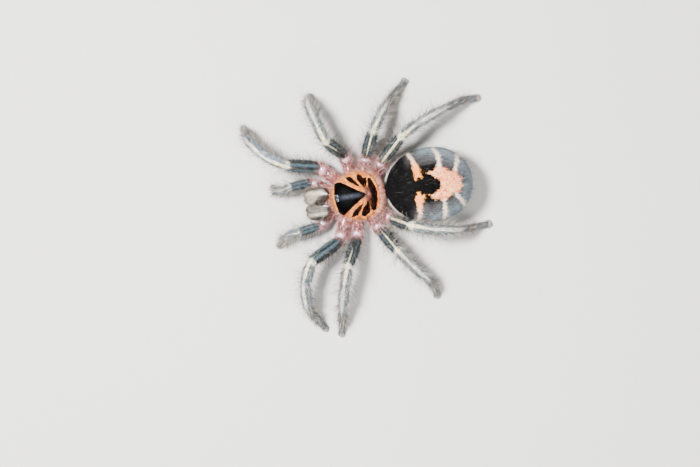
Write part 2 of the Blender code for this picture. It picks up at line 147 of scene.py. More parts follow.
# ---- marks on the carapace, from its centre, seen from above ----
CAPUT = (
    (-2.56, -3.1), (-0.64, -3.36), (0.7, -3.33), (1.9, -3.12), (2.86, -2.86), (3.0, -2.36), (2.36, -1.42),
    (1.58, -0.4), (0.75, 0.85), (0.32, 1.54), (0.02, 1.8), (-0.33, 1.44), (-0.84, 0.46), (-1.8, -0.94),
    (-2.56, -2.1),
)
CARAPACE_RAYS = {
    "front_right": ((-3.08, -1.1, 0.25), (-2.7, -0.5, 0.88), (-2.0, 0.22, 0.6), (-1.2, 1.0, 0.1)),
    "front_left": ((3.3, -1.0, 0.25), (2.75, -0.3, 0.95), (2.13, 0.33, 0.7), (1.4, 1.05, 0.12)),
    "middle_right": ((-3.05, 0.95, 0.7), (-2.6, 1.15, 1.1), (-1.9, 1.35, 0.8), (-1.1, 1.62, 0.2)),
    "middle_right_lobe": ((-2.5, 1.9, 0.5), (-1.9, 1.85, 0.7), (-1.3, 1.9, 0.14)),
    "middle_left": ((3.05, 1.0, 0.95), (2.5, 1.45, 1.35), (1.8, 1.75, 0.8), (1.1, 1.95, 0.2)),
    "rear": ((-2.25, 2.55, 0.7), (-1.5, 2.72, 1.1), (-0.5, 2.96, 1.1), (0.2, 3.05, 1.05), (1.08, 2.9, 1.15),
             (2.25, 2.65, 1.0)),
    "finger_1": ((-1.7, 2.4, 0.4), (-0.7, 2.12, 0.08)),
    "finger_2": ((-1.1, 2.5, 0.3), (-0.5, 2.3, 0.08)),
    "finger_3": ((0.5, 2.7, 0.4), (0.3, 2.35, 0.08)),
    "finger_4": ((1.2, 2.5, 0.4), (0.55, 2.2, 0.08)),
    "finger_5": ((1.9, 2.3, 0.4), (0.8, 2.1, 0.08)),
}
FOVEA = (0.0, 2.1)

# ---- camera, floor and sky ----
CAMERA_HEIGHT = 300.0
CAMERA_LENS = 95.2
CAMERA_TURN = 81.5
# The point under the camera, from the carapace's centre.
CAMERA_AIM = (5.81, -1.72)
FLOOR_SIZE = 900.0
SKY = (0.9, 0.95, 1.0, 1.0)
SKY_STRENGTH = 0.34


# ---- arithmetic ----
def unit(vectors):
    return vectors / np.maximum(np.linalg.norm(vectors, axis=-1, keepdims=True), 1e-9)


def smoothstep(low, high, value):
    share = np.clip((value - low) / (high - low), 0, 1)
    return share * share * (3 - 2 * share)


def power(value, exponent):
    """Keeps the sign of value."""
    return np.sign(value) * np.abs(value) ** exponent


def blurred(values, width):
    """Rows smoothed by a bell of the given width in rows, with each end carried on in a straight line."""
    reach = int(3 * width) + 1
    before = 2 * values[0] - values[reach:0:-1]
    after = 2 * values[-1] - values[-2 : -reach - 2 : -1]
    padded = np.concatenate([before, values, after])
    bell = np.exp(-0.5 * (np.arange(-reach, reach + 1) / width) ** 2)
    bell /= bell.sum()
    columns = [np.convolve(column, bell, "valid") for column in padded.reshape(len(padded), -1).T]
    return np.stack(columns, -1).reshape(values.shape)


def bell(*offsets):
    """1 where all offsets are 0, falling to 0 at each side."""
    return np.exp(-sum(offset**2 for offset in offsets))


def from_segment(points, start, end):
    """How far along a segment each point lies, as a share, and its distance from the segment."""
    run = end - start
    share = np.clip((points - start) @ run / (run @ run), 0, 1)
    return share, np.linalg.norm(points - start - share[:, None] * run, axis=1)


def stroke_distance(points, stroke):
    """How far points lie inside a stroke of (x, y, width): positive inside."""
    best = np.full(len(points), -9.0)
    for first, second in zip(stroke, stroke[1:]):
        share, away = from_segment(points, np.array(first[:2]), np.array(second[:2]))
        best = np.maximum(best, (first[2] + (second[2] - first[2]) * share) / 2 - away)
    return best


def outline_distance(points, outline):
    """How far points lie inside a closed outline: positive inside."""
    corners = np.array(outline)
    nearest = np.full(len(points), 9.0)
    inside = np.zeros(len(points), bool)
    for start, end in zip(corners, np.roll(corners, -1, 0)):
        nearest = np.minimum(nearest, from_segment(points, start, end)[1])
        run = end - start
        spans = (start[1] > points[:, 1]) != (end[1] > points[:, 1])
        cross = start[0] + (points[:, 1] - start[1]) * run[0] / (run[1] if run[1] else 1e-9)
        inside ^= spans & (points[:, 0] < cross)
    return np.where(inside, nearest, -nearest)


def ripple(points, scale, seed):
    """A smooth random height between about -1 and 1 at each point, with features of about the given size."""
    waves = np.random.default_rng(seed)
    total = np.zeros(len(points))
    for _ in range(9):
        heading = unit(waves.normal(size=3)) * waves.uniform(0.7, 1.6) * 2 * math.pi / scale
        total += np.sin(points @ heading + waves.uniform(0, 7))
    return total / 4.5


def ragged(points, scale, seed, size):
    """Small random shifts in plan, for the edges of marks."""
    return np.stack([ripple(points, scale, seed), ripple(points, scale, seed + 1)], -1) * size


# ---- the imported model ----
def node_mesh(name):
    """Points in millimetres and triangles of a node."""
    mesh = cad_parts[name].data
    points = np.empty(len(mesh.vertices) * 3)
    mesh.vertices.foreach_get("co", points)
    mesh.calc_loop_triangles()
    triangles = np.empty(len(mesh.loop_triangles) * 3, int)
    mesh.loop_triangles.foreach_get("vertices", triangles)
    return points.reshape(-1, 3) / MM, triangles.reshape(-1, 3)


def node_box(name):
    """A node's centre and half sizes in millimetres."""
    low, high = (np.array(corner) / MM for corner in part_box(name))
    return (low + high) / 2, (high - low) / 2


def section_centre(points, triangles, origin, normal):
    """The middle of the outline where a plane cuts a mesh."""
    heights = (points - origin) @ normal
    total, length = np.zeros(3), 0.0
    for triangle in triangles:
        level = heights[triangle]
        if (level > 0).all() or (level <= 0).all():
            continue
        cuts = []
        for i, j in ((0, 1), (1, 2), (2, 0)):
            if (level[i] > 0) != (level[j] > 0):
                share = level[i] / (level[i] - level[j])
                cuts.append(points[triangle[i]] * (1 - share) + points[triangle[j]] * share)
        run = np.linalg.norm(cuts[1] - cuts[0])
        total += (cuts[0] + cuts[1]) / 2 * run
        length += run
    return total / length


def node_axis(name, previous):
    """The two ends of a slender node, the nearer to previous first."""
    points, _ = node_mesh(name)
    gaps = np.linalg.norm(points[:, None] - points[None], axis=2)
    i, j = np.unravel_index(gaps.argmax(), gaps.shape)
    ends = [points[i], points[j]]
    return sorted(ends, key=lambda end: np.linalg.norm(end - previous))


def half_width(name, start, end, run=(0.0, 1.0)):
    """A slender node's half width across its own level side, over a run of the way from start to end."""
    points, _ = node_mesh(name)
    axis = end - start
    side = unit(np.cross((0, 0, 1), axis))
    share = (points - start) @ axis / (axis @ axis)
    kept = points[(share >= run[0]) & (share <= run[1])]
    return np.abs((kept - start) @ side).max()


def foot_line(name, previous, bend_share):
    """Points along a foot: its start, two before its bend, the bend, one after it and its pad's middle."""
    points, triangles = node_mesh(name)
    start, tip = node_axis(name, previous)
    line = [start]
    for share in (bend_share * 0.4, bend_share * 0.8, bend_share, bend_share + 0.2):
        line.append(section_centre(points, triangles, start + (tip - start) * share, tip - start))
    flat = points[points[:, 2] < 0.01].mean(0)
    line.append(flat + (0, 0, PAD_HEIGHT))
    return line


# ---- new pieces ----
def new_mesh(name, points, faces, marks=(), patches=None):
    """A mesh from millimetre points and equal-sided faces, with named point attributes and coat patches."""
    mesh = bpy.data.meshes.new(name)
    faces = np.asarray(faces, np.int32)
    mesh.vertices.add(len(points))
    mesh.vertices.foreach_set("co", (np.asarray(points) * MM).astype(np.float32).ravel())
    mesh.loops.add(faces.size)
    mesh.loops.foreach_set("vertex_index", faces.ravel())
    mesh.polygons.add(len(faces))
    mesh.polygons.foreach_set("loop_start", np.arange(len(faces), dtype=np.int32) * faces.shape[1])
    for key, values in dict(marks).items():
        values = np.asarray(values, np.float32)
        kind, field = ("FLOAT", "value") if values.ndim == 1 else ("FLOAT_VECTOR", "vector")
        mesh.attributes.new(key, kind, "POINT").data.foreach_set(field, values.ravel())
    if patches is not None:
        layer = mesh.uv_layers.new(name="OFBake")
        layer.uv.foreach_set("vector", patches[faces.ravel()].astype(np.float32).ravel())
    mesh.update(calc_edges=True)
    mesh.validate()
    return mesh


def new_piece(name, points, faces, look, slot, marks=(), replaces=(), patches=None):
    """A piece that rides on the body, in the material named by look."""
    mesh = new_mesh(name, points, faces, marks, patches)
    mesh.shade_smooth()
    piece = bpy.data.objects.new(name, mesh)
    bpy.context.scene.collection.objects.link(piece)
    mesh.materials.append(bpy.data.materials[look])
    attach(piece, "root")
    if replaces:
        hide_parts(*replaces)


def grid_faces(rows, columns):
    """Faces of a tube of rings with a point at each end, which come last."""
    index = np.arange(rows * columns).reshape(rows, columns)
    here, there = index, np.roll(index, -1, 1)
    low = np.stack([here[:-1], there[:-1], there[1:]], -1).reshape(-1, 3)
    high = np.stack([here[:-1], there[1:], here[1:]], -1).reshape(-1, 3)
    first, last = rows * columns, rows * columns + 1
    start = np.stack([np.full(columns, first), there[0], here[0]], -1)
    end = np.stack([np.full(columns, last), here[-1], there[-1]], -1)
    return np.concatenate([low, high, start, end])


def outward(points, faces):
    """The faces, turned round if they point inwards."""
    corners = points[faces]
    volume = np.einsum("ij,ij->i", corners[:, 0], np.cross(corners[:, 1], corners[:, 2])).sum()
    return faces if volume > 0 else faces[:, ::-1]


def face_normals(points, faces):
    """A normal of each face, twice as long as its area."""
    corners = points[faces]
    return np.cross(corners[:, 1] - corners[:, 0], corners[:, 2] - corners[:, 0])


def point_normals(points, faces):
    normals = np.zeros_like(points)
    for k in range(3):
        np.add.at(normals, faces[:, k], face_normals(points, faces))
    return unit(normals)


def joined(skins):
    """The points and faces of several skins together."""
    starts = np.cumsum([0, *(len(skin.points) for skin in skins)])
    faces = [skin.faces + start for skin, start in zip(skins, starts)]
    return np.concatenate([skin.points for skin in skins]), np.concatenate(faces)


class Coat:
    """Gathers closed, tapering, three-sided hairs and their patches for one piece."""

    def __init__(self):
        self.points, self.faces, self.marks, self.patches, self.count = [], [], {}, [], 0

    def add(self, roots, heads, bends, lengths, marks, places, width=HAIR_WIDTH, rings=1):
        """Hairs that leave their roots along heads, curve along bends, and carry their roots' marks."""
        count, size = len(roots), 3 * rings + 1
        side = unit(np.cross(heads, unit(RANDOM.normal(size=(count, 3)))))
        lift = np.cross(heads, side)
        thick = width * RANDOM.uniform(0.75, 1.25, count)
        points = np.empty((count, size, 3))
        patches = np.empty((count, size, 2))
        for j in range(rings + 1):
            share = j / rings
            middle = roots + heads * (lengths * share)[:, None] + bends * (lengths * share**2)[:, None]
            if j == rings:
                points[:, -1] = middle
                patches[:, -1] = places
                break
            for k in range(3):
                turn = 2 * math.pi * k / 3
                ring = side * math.cos(turn) + lift * math.sin(turn)
                points[:, 3 * j + k] = middle + ring * (thick * (1 - 0.75 * share))[:, None]
                spot = np.array([math.cos(turn), math.sin(turn)]) * PATCH * (1 - share)
                patches[:, 3 * j + k] = places + spot
        pattern = [(0, 2, 1)]
        for j in range(rings - 1):
            for k in range(3):
                a, b = 3 * j + k, 3 * j + (k + 1) % 3
                pattern += [(a, b, b + 3), (a, b + 3, a + 3)]
        top = 3 * (rings - 1)
        pattern += [(top, top + 1, size - 1), (top + 1, top + 2, size - 1), (top + 2, top, size - 1)]
        starts = self.count + np.arange(count) * size
        self.faces.append((starts[:, None, None] + np.array(pattern)).reshape(-1, 3))
        self.points.append(points.reshape(-1, 3))
        self.patches.append(patches.reshape(-1, 2))
        shade = RANDOM.random(count)
        for key, values in {**marks, "shade": shade}.items():
            self.marks.setdefault(key, []).append(np.repeat(values, size, axis=0))
        self.count += count * size

    def piece(self, name, look, slot):
        marks = {key: np.concatenate(values) for key, values in self.marks.items()}
        points = np.concatenate(self.points)
        points[:, 2] = np.maximum(points[:, 2], FLOOR_CLEARANCE / 2)
        faces, patches = np.concatenate(self.faces), np.concatenate(self.patches)
        new_piece(name, points, faces, look, slot, marks, patches=patches)


class Skin:
    """A closed surface and the hairs that grow on it. Subclasses set its points' places on a map."""

    def __init__(self, points, faces):
        self.points, self.faces = points, outward(points, faces)
        self.normals = point_normals(points, self.faces)

    def piece(self, name, look, slot, marks, replaces=()):
        marks = {**marks, "root": self.points, "shade": np.full(len(self.points), 0.5)}
        new_piece(name, self.points, self.faces, look, slot, marks, replaces)

    def scatter(self, count, weight=None):
        """Picks random places on the skin: the face of each, its shares of the corners, root and normal."""
        area = np.linalg.norm(face_normals(self.points, self.faces), axis=1)
        if weight is not None:
            area = area * weight[self.faces].mean(1)
        self.picked = RANDOM.choice(len(self.faces), count, p=area / area.sum())
        shares = -np.log(np.maximum(RANDOM.random((count, 3)), 1e-9))
        self.shares = shares / shares.sum(1, keepdims=True)
        self.roots, self.up = self.at(self.points), unit(self.at(self.normals))

    def at(self, values):
        """Point values carried to the scattered places."""
        return np.einsum("ij,ij...->i...", self.shares, values[self.faces[self.picked]])

    def carried(self, marks):
        return {key: self.at(values) for key, values in marks.items()}

    def grow(self, coat, flow, bend, lengths, lean, curl, marks, spread, width, rings, kind, level=1.0):
        """Hairs at the scattered places. lean is the lift off the skin, the sweep along flow and the stray,
        and level keeps hairs nearer to level."""
        lift, sweep, stray = lean
        count = len(flow)
        loose = RANDOM.normal(size=(count, 3))
        heads = unit((self.up * lift + flow * sweep + loose * stray) * (1, 1, level))
        bends = (flow * bend + RANDOM.normal(size=(count, 3)) * 0.4) * curl
        marks = {**marks, "root": self.roots, "kind": np.full(count, kind)}
        places = np.clip(self.places[self.faces[self.picked, 0]] + spread, MAP_EDGE, 1 - MAP_EDGE)
        longs = RANDOM.uniform(*lengths, count)
        coat.add(self.roots - heads * ROOT_SINK, heads, bends, longs, marks, places, width, rings)


def tube(line, radii, sides):
    """A closed round tube along a short line."""
    along = unit(np.gradient(line, axis=0))
    level = unit(np.cross(along, (0.31, 0.17, 0.93)))
    back = np.cross(along, level)
    angles = np.arange(sides) * 2 * math.pi / sides
    out = level[:, None] * np.cos(angles)[:, None] + back[:, None] * np.sin(angles)[:, None]
    rings = line[:, None] + out * np.asarray(radii)[:, None, None]
    return Skin(np.concatenate([rings.reshape(-1, 3), line[:1], line[-1:]]), grid_faces(len(line), sides))


# ---- limbs ----
class Limb(Skin):
    """A leg's or palp's middle line, its frames and radii at each ring, and its skin."""

    def __init__(self, stem, kind, front):
        self.stem, self.kind = stem, kind
        self.segments = PALP_SEGMENTS if kind == "palp" else SEGMENTS
        kinds = PALP_NODES if kind == "palp" else LEG_NODES
        self.nodes = [f"{stem}_{kind}" for kind in kinds]
        line, ends, widths = self.route(BEND_SHARES[kind])
        self.resample(line)
        self.stops = [*(self.arc_at(point) for point in ends), self.length]
        self.radii = self.ring_radii(widths)
        self.make_frames(front)
        angles = np.arange(LIMB_SIDES) * 2 * math.pi / LIMB_SIDES
        self.make_skin(angles)
        self.make_marks(angles, angles - math.radians(LEG_TURNS[kind]))

    def route(self, bend_share):
        """The middle line's corners, the places where segments meet, and each segment's half width."""
        previous, _ = node_box("sternum")
        line, ends, widths = [], [], []
        for name in self.nodes[:-1]:
            start, end = node_axis(name, previous)
            if line:
                ends.append((previous + start) / 2)
            else:
                line.append(start - unit(end - start) * ROOT_DEPTH)
                ends += [start, start + (end - start) * TROCHANTER_SHARE]
                widths.append(half_width(name, start, end))
            line += [start, end]
            widths.append(half_width(name, start, end))
            previous = end
        foot = foot_line(self.nodes[-1], previous, bend_share)
        ends += [(previous + foot[0]) / 2, foot[3]]
        widths += [half_width(self.nodes[-1], foot[0], foot[2], (0.1, 0.6)),
                   half_width(self.nodes[-1], foot[3], foot[-1], (0.3, 0.95))]
        return line + foot, ends, widths

    def resample(self, line):
        """Rings evenly along the line, rounded at its bends, out to the end of the pad."""
        line = np.array(line)
        line = np.concatenate([line, [line[-1] + unit(line[-1] - line[-2]) * PAD_REACH]])
        steps = np.linalg.norm(np.diff(line, axis=0), axis=1)
        arc = np.concatenate([[0], np.cumsum(steps)])
        at = np.linspace(0, arc[-1], int(arc[-1] / RING_STEP))
        self.centres = blurred(np.stack([np.interp(at, arc, line[:, k]) for k in range(3)], -1), 2.6)
        steps = np.linalg.norm(np.diff(self.centres, axis=0), axis=1)
        self.arc = np.concatenate([[0], np.cumsum(steps)])
        self.length = self.arc[-1]

    def arc_at(self, point):
        return self.arc[np.linalg.norm(self.centres - point, axis=1).argmin()]

    def ring_radii(self, widths):
        """Half widths inside the coat, pinched at each joint and round at the tip."""
        stops = self.stops
        places, sizes = [0.0], [widths[0] * 0.6]
        for i, segment in enumerate(self.segments):
            run = stops[i + 1] - stops[i]
            inner = widths[i] - LIMB_COAT
            for share, size in zip((0.05, 0.33, 0.67, 0.95), SEGMENT_SHAPES[segment]):
                places.append(stops[i] + run * share)
                sizes.append(inner * size)
        radii = blurred(np.interp(self.arc, places, sizes), 1.3)
        for i, stop in enumerate(stops[1:-1]):
            depth = 0.16 if i in (1, 2) else 0.10
            radii *= 1 - depth * bell((self.arc - stop) / PINCH_WIDTH)
        tip = np.clip((self.arc - self.length) / radii[-3] + 1, 0, 0.999)
        return radii * np.sqrt(1 - tip**2)

    def make_frames(self, front):
        """At each ring: along the limb, towards the animal's front, and up over the limb's back."""
        self.along = unit(np.gradient(self.centres, axis=0))
        level = blurred(np.cross((0, 0, 1), self.along), 8)
        level = unit(level - (level * self.along).sum(1, keepdims=True) * self.along)
        self.back = np.cross(self.along, level)
        self.front = -level * front

    def make_skin(self, angles):
        """Rings of points round the middle line, closed at both ends."""
        out = (self.back[:, None] * np.cos(angles)[:, None] * LIMB_HEIGHT
               + self.front[:, None] * np.sin(angles)[:, None])
        rings = self.centres[:, None] + out * self.radii[:, None, None]
        rings += out * (ripple(rings.reshape(-1, 3), 1.1, 5) * 0.012).reshape(-1, LIMB_SIDES, 1)
        points = np.concatenate([rings.reshape(-1, 3), self.centres[:1], self.centres[-1:]])
        points[:, 2] = np.maximum(points[:, 2], FLOOR_CLEARANCE)
        super().__init__(points, grid_faces(len(rings), LIMB_SIDES))

    def make_marks(self, angles, turned):
        """At each point: its segment number, height round the limb, way off the top line, place and flow."""
        numbers = [SEGMENTS.index(segment) for segment in self.segments]
        runs = zip(self.stops, self.stops[1:])
        places = [place for start, end in runs for place in (start + 1e-4, end - 1e-4)]
        values = [value for number in numbers for value in (number, number + 1)]
        number = np.repeat(np.interp(self.arc, places, values), LIMB_SIDES)
        rows = len(self.arc)
        top, side = np.tile(np.cos(turned), rows), np.tile(np.sin(turned), rows)
        off = np.arctan2(side, top) * np.repeat(np.maximum(self.radii, 0.3), LIMB_SIDES)
        marks = np.stack([number, top, off], -1)
        self.marks = np.concatenate([marks, [[0, 1, 0], [number[-1], 1, 0]]])
        around = np.tile(angles / (2 * math.pi), rows)
        along = np.repeat(self.arc / self.length, LIMB_SIDES)
        self.places = np.concatenate([np.stack([around, along], -1), [[0.5, 0], [0.5, 1]]])
        self.flow = np.concatenate([np.repeat(self.along, LIMB_SIDES, 0), self.along[:1], self.along[-1:]])

    def skin(self):
        marks = {"limb": self.marks, **self.stripes(self.marks)}
        self.piece(f"{self.stem}_skin", "limb_skin", "limb", marks, self.nodes)

    def stripes(self, marks):
        """Signed distances from the edges of the pale stripe and of the painted blue-grey sheen bands,
        positive inside.
        """
        number, _, off = marks.T
        shares, widths = STRIPES[self.kind]
        stripe = np.interp(number, shares, widths) / 2 - np.abs(off)
        low, high = (np.interp(number, SHEEN_BAND_NUMBERS, offsets) for offsets in SHEEN_BANDS[self.kind])
        sheen_band = (high - low) / 2 - np.abs(np.abs(off) - (low + high) / 2)
        return {"stripe": stripe, "sheen_band": sheen_band}

    def hairs(self, coat, count, weight, lengths, lean, curl, rings, width, kind, level):
        """Hairs of one kind, which run towards the foot."""
        self.scatter(count, weight(self))
        marks = {"limb": self.at(self.marks), **self.stripes(self.at(self.marks))}
        flow = unit(self.at(self.flow))
        spread = (self.shares[:, :2] - 0.33) * (1 / LIMB_SIDES, 1 / len(self.arc))
        self.grow(coat, flow, 0.5, lengths, lean, curl, marks, spread, width, rings, kind, level)


def between(low, high):
    """A weight for hairs on a run of the limb's segments, by number."""
    def weight(limb):
        number = limb.marks[:, 0]
        return smoothstep(low - 0.1, low + 0.1, number) * smoothstep(high + 0.1, high - 0.1, number)
    return weight


def underneath(low, high):
    """A weight for hairs under a run of the limb's segments."""
    run = between(low, high)
    return lambda limb: run(limb) * smoothstep(-0.2, -0.7, limb.marks[:, 1])


def hip_fur(limb):
    """A weight for hairs on the hips, with the tops of the trochanters left bare."""
    number, top = limb.marks[:, 0], limb.marks[:, 1]
    bare = smoothstep(1.1, 1.3, number) * smoothstep(1.85, 1.7, number) * smoothstep(0.2, 0.5, top)
    return between(0.2, 2.05)(limb) * (1 - 0.93 * bare)


# Number of hairs on a leg, where, lengths, lean, curl, rings, width, kind and level. The rows are short
# pile, two kinds on the hips, soles, tufts at the tips, standing hairs and two kinds of long wisps.
LIMB_HAIRS = (
    (6400, between(2.0, 7), (0.26, 0.46), (0.34, 1.0, 0.15), 0.0, 1, 0.026, 0.0, 1.0),
    (1300, hip_fur, (0.3, 0.75), (0.6, 1.0, 0.4), 0.2, 2, 0.02, 0.0, 1.0),
    (300, between(0.2, 2.0), (0.7, 1.4), (0.8, 0.7, 0.5), 0.3, 3, 0.017, 0.0, 0.6),
    (1200, underneath(5.2, 7), (0.14, 0.2), (1.0, 0.3, 0.12), 0.0, 1, HAIR_WIDTH, 0.0, 1.0),
    (420, between(6.85, 7), (0.25, 0.5), (1.1, 0.7, 0.35), 0.2, 1, 0.026, 0.0, 1.0),
    (1700, between(1.8, 6.8), (0.45, 0.9), (0.7, 1.0, 0.22), 0.3, 2, 0.015, 0.4, 1.0),
    (560, between(1.7, 4.9), (1.0, 2.4), (1.0, 0.5, 0.35), 0.35, 3, 0.022, 1.0, 0.45),
    (300, between(4.9, 6.2), (0.6, 1.4), (1.0, 0.5, 0.35), 0.35, 3, 0.021, 1.0, 0.6),
)


def add_limb(word, front, kind):
    stem = f"palp_{word}" if kind == "palp" else f"leg_{kind}_{word}"
    limb = Limb(stem, kind, front)
    limb.skin()
    coat = Coat()
    scale = PALP_HAIR if kind == "palp" else 1.0
    for count, *rest in LIMB_HAIRS:
        limb.hairs(coat, int(count * scale), *rest)
    coat.piece(f"{stem}_coat", "limb_hair", "limb")
    return limb


def add_claws(limbs):
    """Two small hooked claws at each foot's tip."""
    claws = []
    share = np.linspace(0, 1, 7)
    rise = 0.12 * np.sin(share * 2.6) - 0.16 * share**2
    for limb in limbs:
        ahead = unit(limb.along[-4] * (1, 1, 0))
        for side in (-1, 1):
            base = limb.centres[-4] + limb.front[-4] * 0.1 * side + limb.back[-4] * 0.1
            line = base + ahead * (share * 0.34)[:, None] + np.array([0, 0, 1]) * rise[:, None]
            line[:, 2] = np.maximum(line[:, 2], 0.06)
            claws.append(tube(line, 0.045 * (1 - share * 0.85), 6))
    new_piece("claws", *joined(claws), "horn", "fang")


# ---- the body ----
class Form(Skin):
    """A closed body form from a grid of unit-sphere points, with the coordinates its marks use."""

    def __init__(self, name, rows, columns, shape, coat, axis="y", box=None):
        around = np.arange(columns) * 2 * math.pi / columns
        along = (np.arange(rows) + 0.5) / rows * math.pi
        ring, pole = np.sin(along)[:, None], np.repeat(-np.cos(along)[:, None], columns, 1)
        first, second = ring * np.cos(around), ring * np.sin(around)
        order = (first, pole, second) if axis == "y" else (first, second, -pole)
        sphere = np.stack(order, -1).reshape(-1, 3)
        ends = np.array([[0, -1, 0], [0, 1, 0]] if axis == "y" else [[0, 0, 1], [0, 0, -1]], float)
        self.sphere = np.concatenate([sphere, ends])
        raw = np.stack(shape(*self.sphere.T), -1)
        low, high = raw.min(0), raw.max(0)
        self.centre, self.half = box or node_box(name)
        points = self.centre + (raw - (low + high) / 2) / (high - low) * 2 * (self.half - coat)
        super().__init__(points, grid_faces(rows, columns))
        turn = np.concatenate([np.tile(around, rows) / (2 * math.pi), [0.5, 0.5]])
        rise = np.concatenate([np.repeat(along, columns) / math.pi, [0, 1]])
        self.places = np.stack([turn, rise], -1)

    @property
    def local(self):
        """Points from the form's centre."""
        return self.points - self.centre

    def raise_by(self, heights):
        """Moves points along their normals, and works out the normals again."""
        self.points = self.points + self.normals * np.asarray(heights)[:, None]
        self.normals = point_normals(self.points, self.faces)

    def hairs(self, coat, count, weight, flow, lengths, lift, stray, curl, marks, width=HAIR_WIDTH, rings=1,
              kind=0.0):
        """Hairs of one kind, swept along flow, a direction at each point, and lifted off the skin."""
        self.scatter(count, weight)
        sweep = self.at(flow)
        sweep = unit(sweep - (sweep * self.up).sum(1, keepdims=True) * self.up)
        self.grow(coat, sweep, 0.4, lengths, (lift, 1.0, stray), curl, self.carried(marks),
                  self.shares[:, :2] * 0.004, width, rings, kind)


def ball(x, y, z):
    return x, y, z


def best_of(distances):
    return np.max(list(distances), axis=0)


# ---- carapace ----
def carapace_crest(y):
    """Share of the full height along the midline, for y from -1 at the front to 1 at the rear."""
    brow = smoothstep(-1.04, -0.72, y)
    return (0.55 + 0.45 * brow) * (1 - 0.46 * smoothstep(-0.35, 0.95, y)) - 0.10 * bell((y - 0.5) / 0.12)


def carapace_shape(x, y, z):
    """The shield seen from above, domed over a thin floor, with z falling evenly from crown to rim."""
    ring = np.maximum(np.hypot(x, y), 1e-6)
    across, along = power(x / ring, 0.84), power(y / ring, 0.80)
    reach = np.where(z > 0, 1 - np.arcsin(np.clip(z, 0, 1)) / (math.pi / 2), ring)
    narrow = 1 - 0.23 * smoothstep(0.15, -0.95, along * reach)
    dome = carapace_crest(along * reach) * np.maximum(1 - reach**2.6, 0) ** 0.62 * 2.35
    floor = -0.3 * np.maximum(-z, 0) ** 0.5
    return across * reach * 4.05 * narrow, along * reach * 4.1, np.where(z > 0, dome, floor)


def add_carapace():
    """The shield with its dark marks, raised head, flutes and pit."""
    form = Form("carapace", 170, 220, carapace_shape, PLATE_COAT, "z")
    plan, height = form.local[:, :2], form.sphere[:, 2]
    caput = outline_distance(plan, CAPUT)
    shifted = plan + ragged(form.points, 0.42, 41, 0.06)
    rays = best_of(stroke_distance(shifted, stroke) for stroke in CARAPACE_RAYS.values())
    x, y = (plan - FOVEA).T
    away = np.hypot(x, y)
    flutes = np.cos(np.arctan2(x, y) * 9) * smoothstep(0.5, 1.4, away) * smoothstep(3.9, 2.6, away)
    flutes = flutes * smoothstep(0.2, -0.3, caput)
    rise = (0.11 * smoothstep(-0.15, 0.9, caput) - 0.07 * bell(caput / 0.16) + 0.035 * flutes
            - 0.3 * bell(x / 0.55, y / 0.26) + 0.012 * ripple(form.points, 0.8, 3))
    form.raise_by(rise * smoothstep(-0.05, 0.1, height))
    form.points = np.clip(form.points, form.centre - form.half, form.centre + form.half)
    form.normals = point_normals(form.points, form.faces)
    reach = np.where(height > 0, 1 - np.arcsin(np.clip(height, 0, 1)) * 2 / math.pi, 1)
    marks = {"caput": caput, "rays": rays, "plan": np.column_stack([plan, reach])}
    form.piece("carapace_shell", "carapace_skin", "carapace", marks, ["carapace"])
    return form, marks


def carapace_coat(form, marks):
    """Flat short hairs that run outwards, and a loose pinkish fringe at the rim."""
    coat = Coat()
    plan = form.local
    out = plan - (*FOVEA, 0)
    reach = marks["plan"][:, 2]
    upper = form.sphere[:, 2] > 0
    pale = upper * smoothstep(0.06, -0.1, np.maximum(marks["caput"], marks["rays"]))
    inner = smoothstep(0.99, 0.95, reach)
    form.hairs(coat, 7000, pale * inner, out, (0.22, 0.42), 0.18, 0.14, 0.1, marks, 0.02)
    dark = upper * smoothstep(0.1, -0.1, pale - 0.5) * smoothstep(0.95, 0.9, reach)
    form.hairs(coat, 500, dark, out, (0.14, 0.25), 0.2, 0.12, 0.1, marks, 0.016)
    rim = upper * smoothstep(0.93, 0.99, reach)
    form.hairs(coat, 900, rim, out, (0.4, 1.0), 0.35, 0.35, 0.3, marks, 0.017, 2, 1.0)
    rear = rim * smoothstep(0.4, 2.4, plan[:, 1]) * smoothstep(3.6, 2.6, np.abs(plan[:, 0]))
    form.hairs(coat, 1300, rear, out + (0, 1.5, 0), (0.8, 1.5), 0.3, 0.4, 0.35, marks, 0.019, 2, 1.0)
    coat.piece("carapace_coat", "carapace_hair", "carapace")


# ---- eyes ----
# Offsets across and along, radius, and 1 for a pearly eye, of the eyes on one side. A pearly eye's pale tone
# is partly a painted glint.
EYES = ((0.18, -0.13, 0.17, 0), (0.45, -0.2, 0.16, 0), (0.42, 0.14, 0.13, 1), (0.22, 0.17, 0.11, 1))


def add_eyes():
    """Eight glossy domes on their low mound, in two rows of four."""
    centre, half = node_box("eye_mound")
    mound = Form("eye_mound", 40, 60, ball, 0.0, "z")
    mound.raise_by(0.012 * ripple(mound.points, 0.35, 11))
    mound.piece("eye_mound_skin", "eye_mound", "carapace", {}, ["eye_mound"])
    eyes, pearls_and_glints = [], []
    for side in (-1, 1):
        for across, along, radius, pearl_and_glint in EYES:
            level = math.sqrt(max(1 - (across / half[0]) ** 2 - (along / half[1]) ** 2, 0.05)) * half[2]
            seat = centre + (across * side, along, level - radius * 0.30)
            eyes.append(Form("", 14, 20, ball, 0, "z", (seat, np.array([radius] * 3))))
            pearls_and_glints += [pearl_and_glint] * len(eyes[-1].points)
    new_piece("eyes", *joined(eyes), "eye_glass", "eyes", {"pearl_and_glint": pearls_and_glints})


# ---- jaws ----
# How far each jaw's inner side reaches past its solid, towards its twin.
JAW_CLOSE = 0.16
# Width of the dark wedge at the inner base, partly painted shade, strength of the streaks, and the stroke of
# the bare knob, painted white as a glint.
JAW_MARKS = {
    "right": (1.15, 0.35, ((0.2, 0.95, 0.26), (0.05, 1.7, 0.36))),
    "left": (0.5, 1.0, ((-0.75, 1.05, 0.28), (-0.7, 1.75, 0.38))),
}


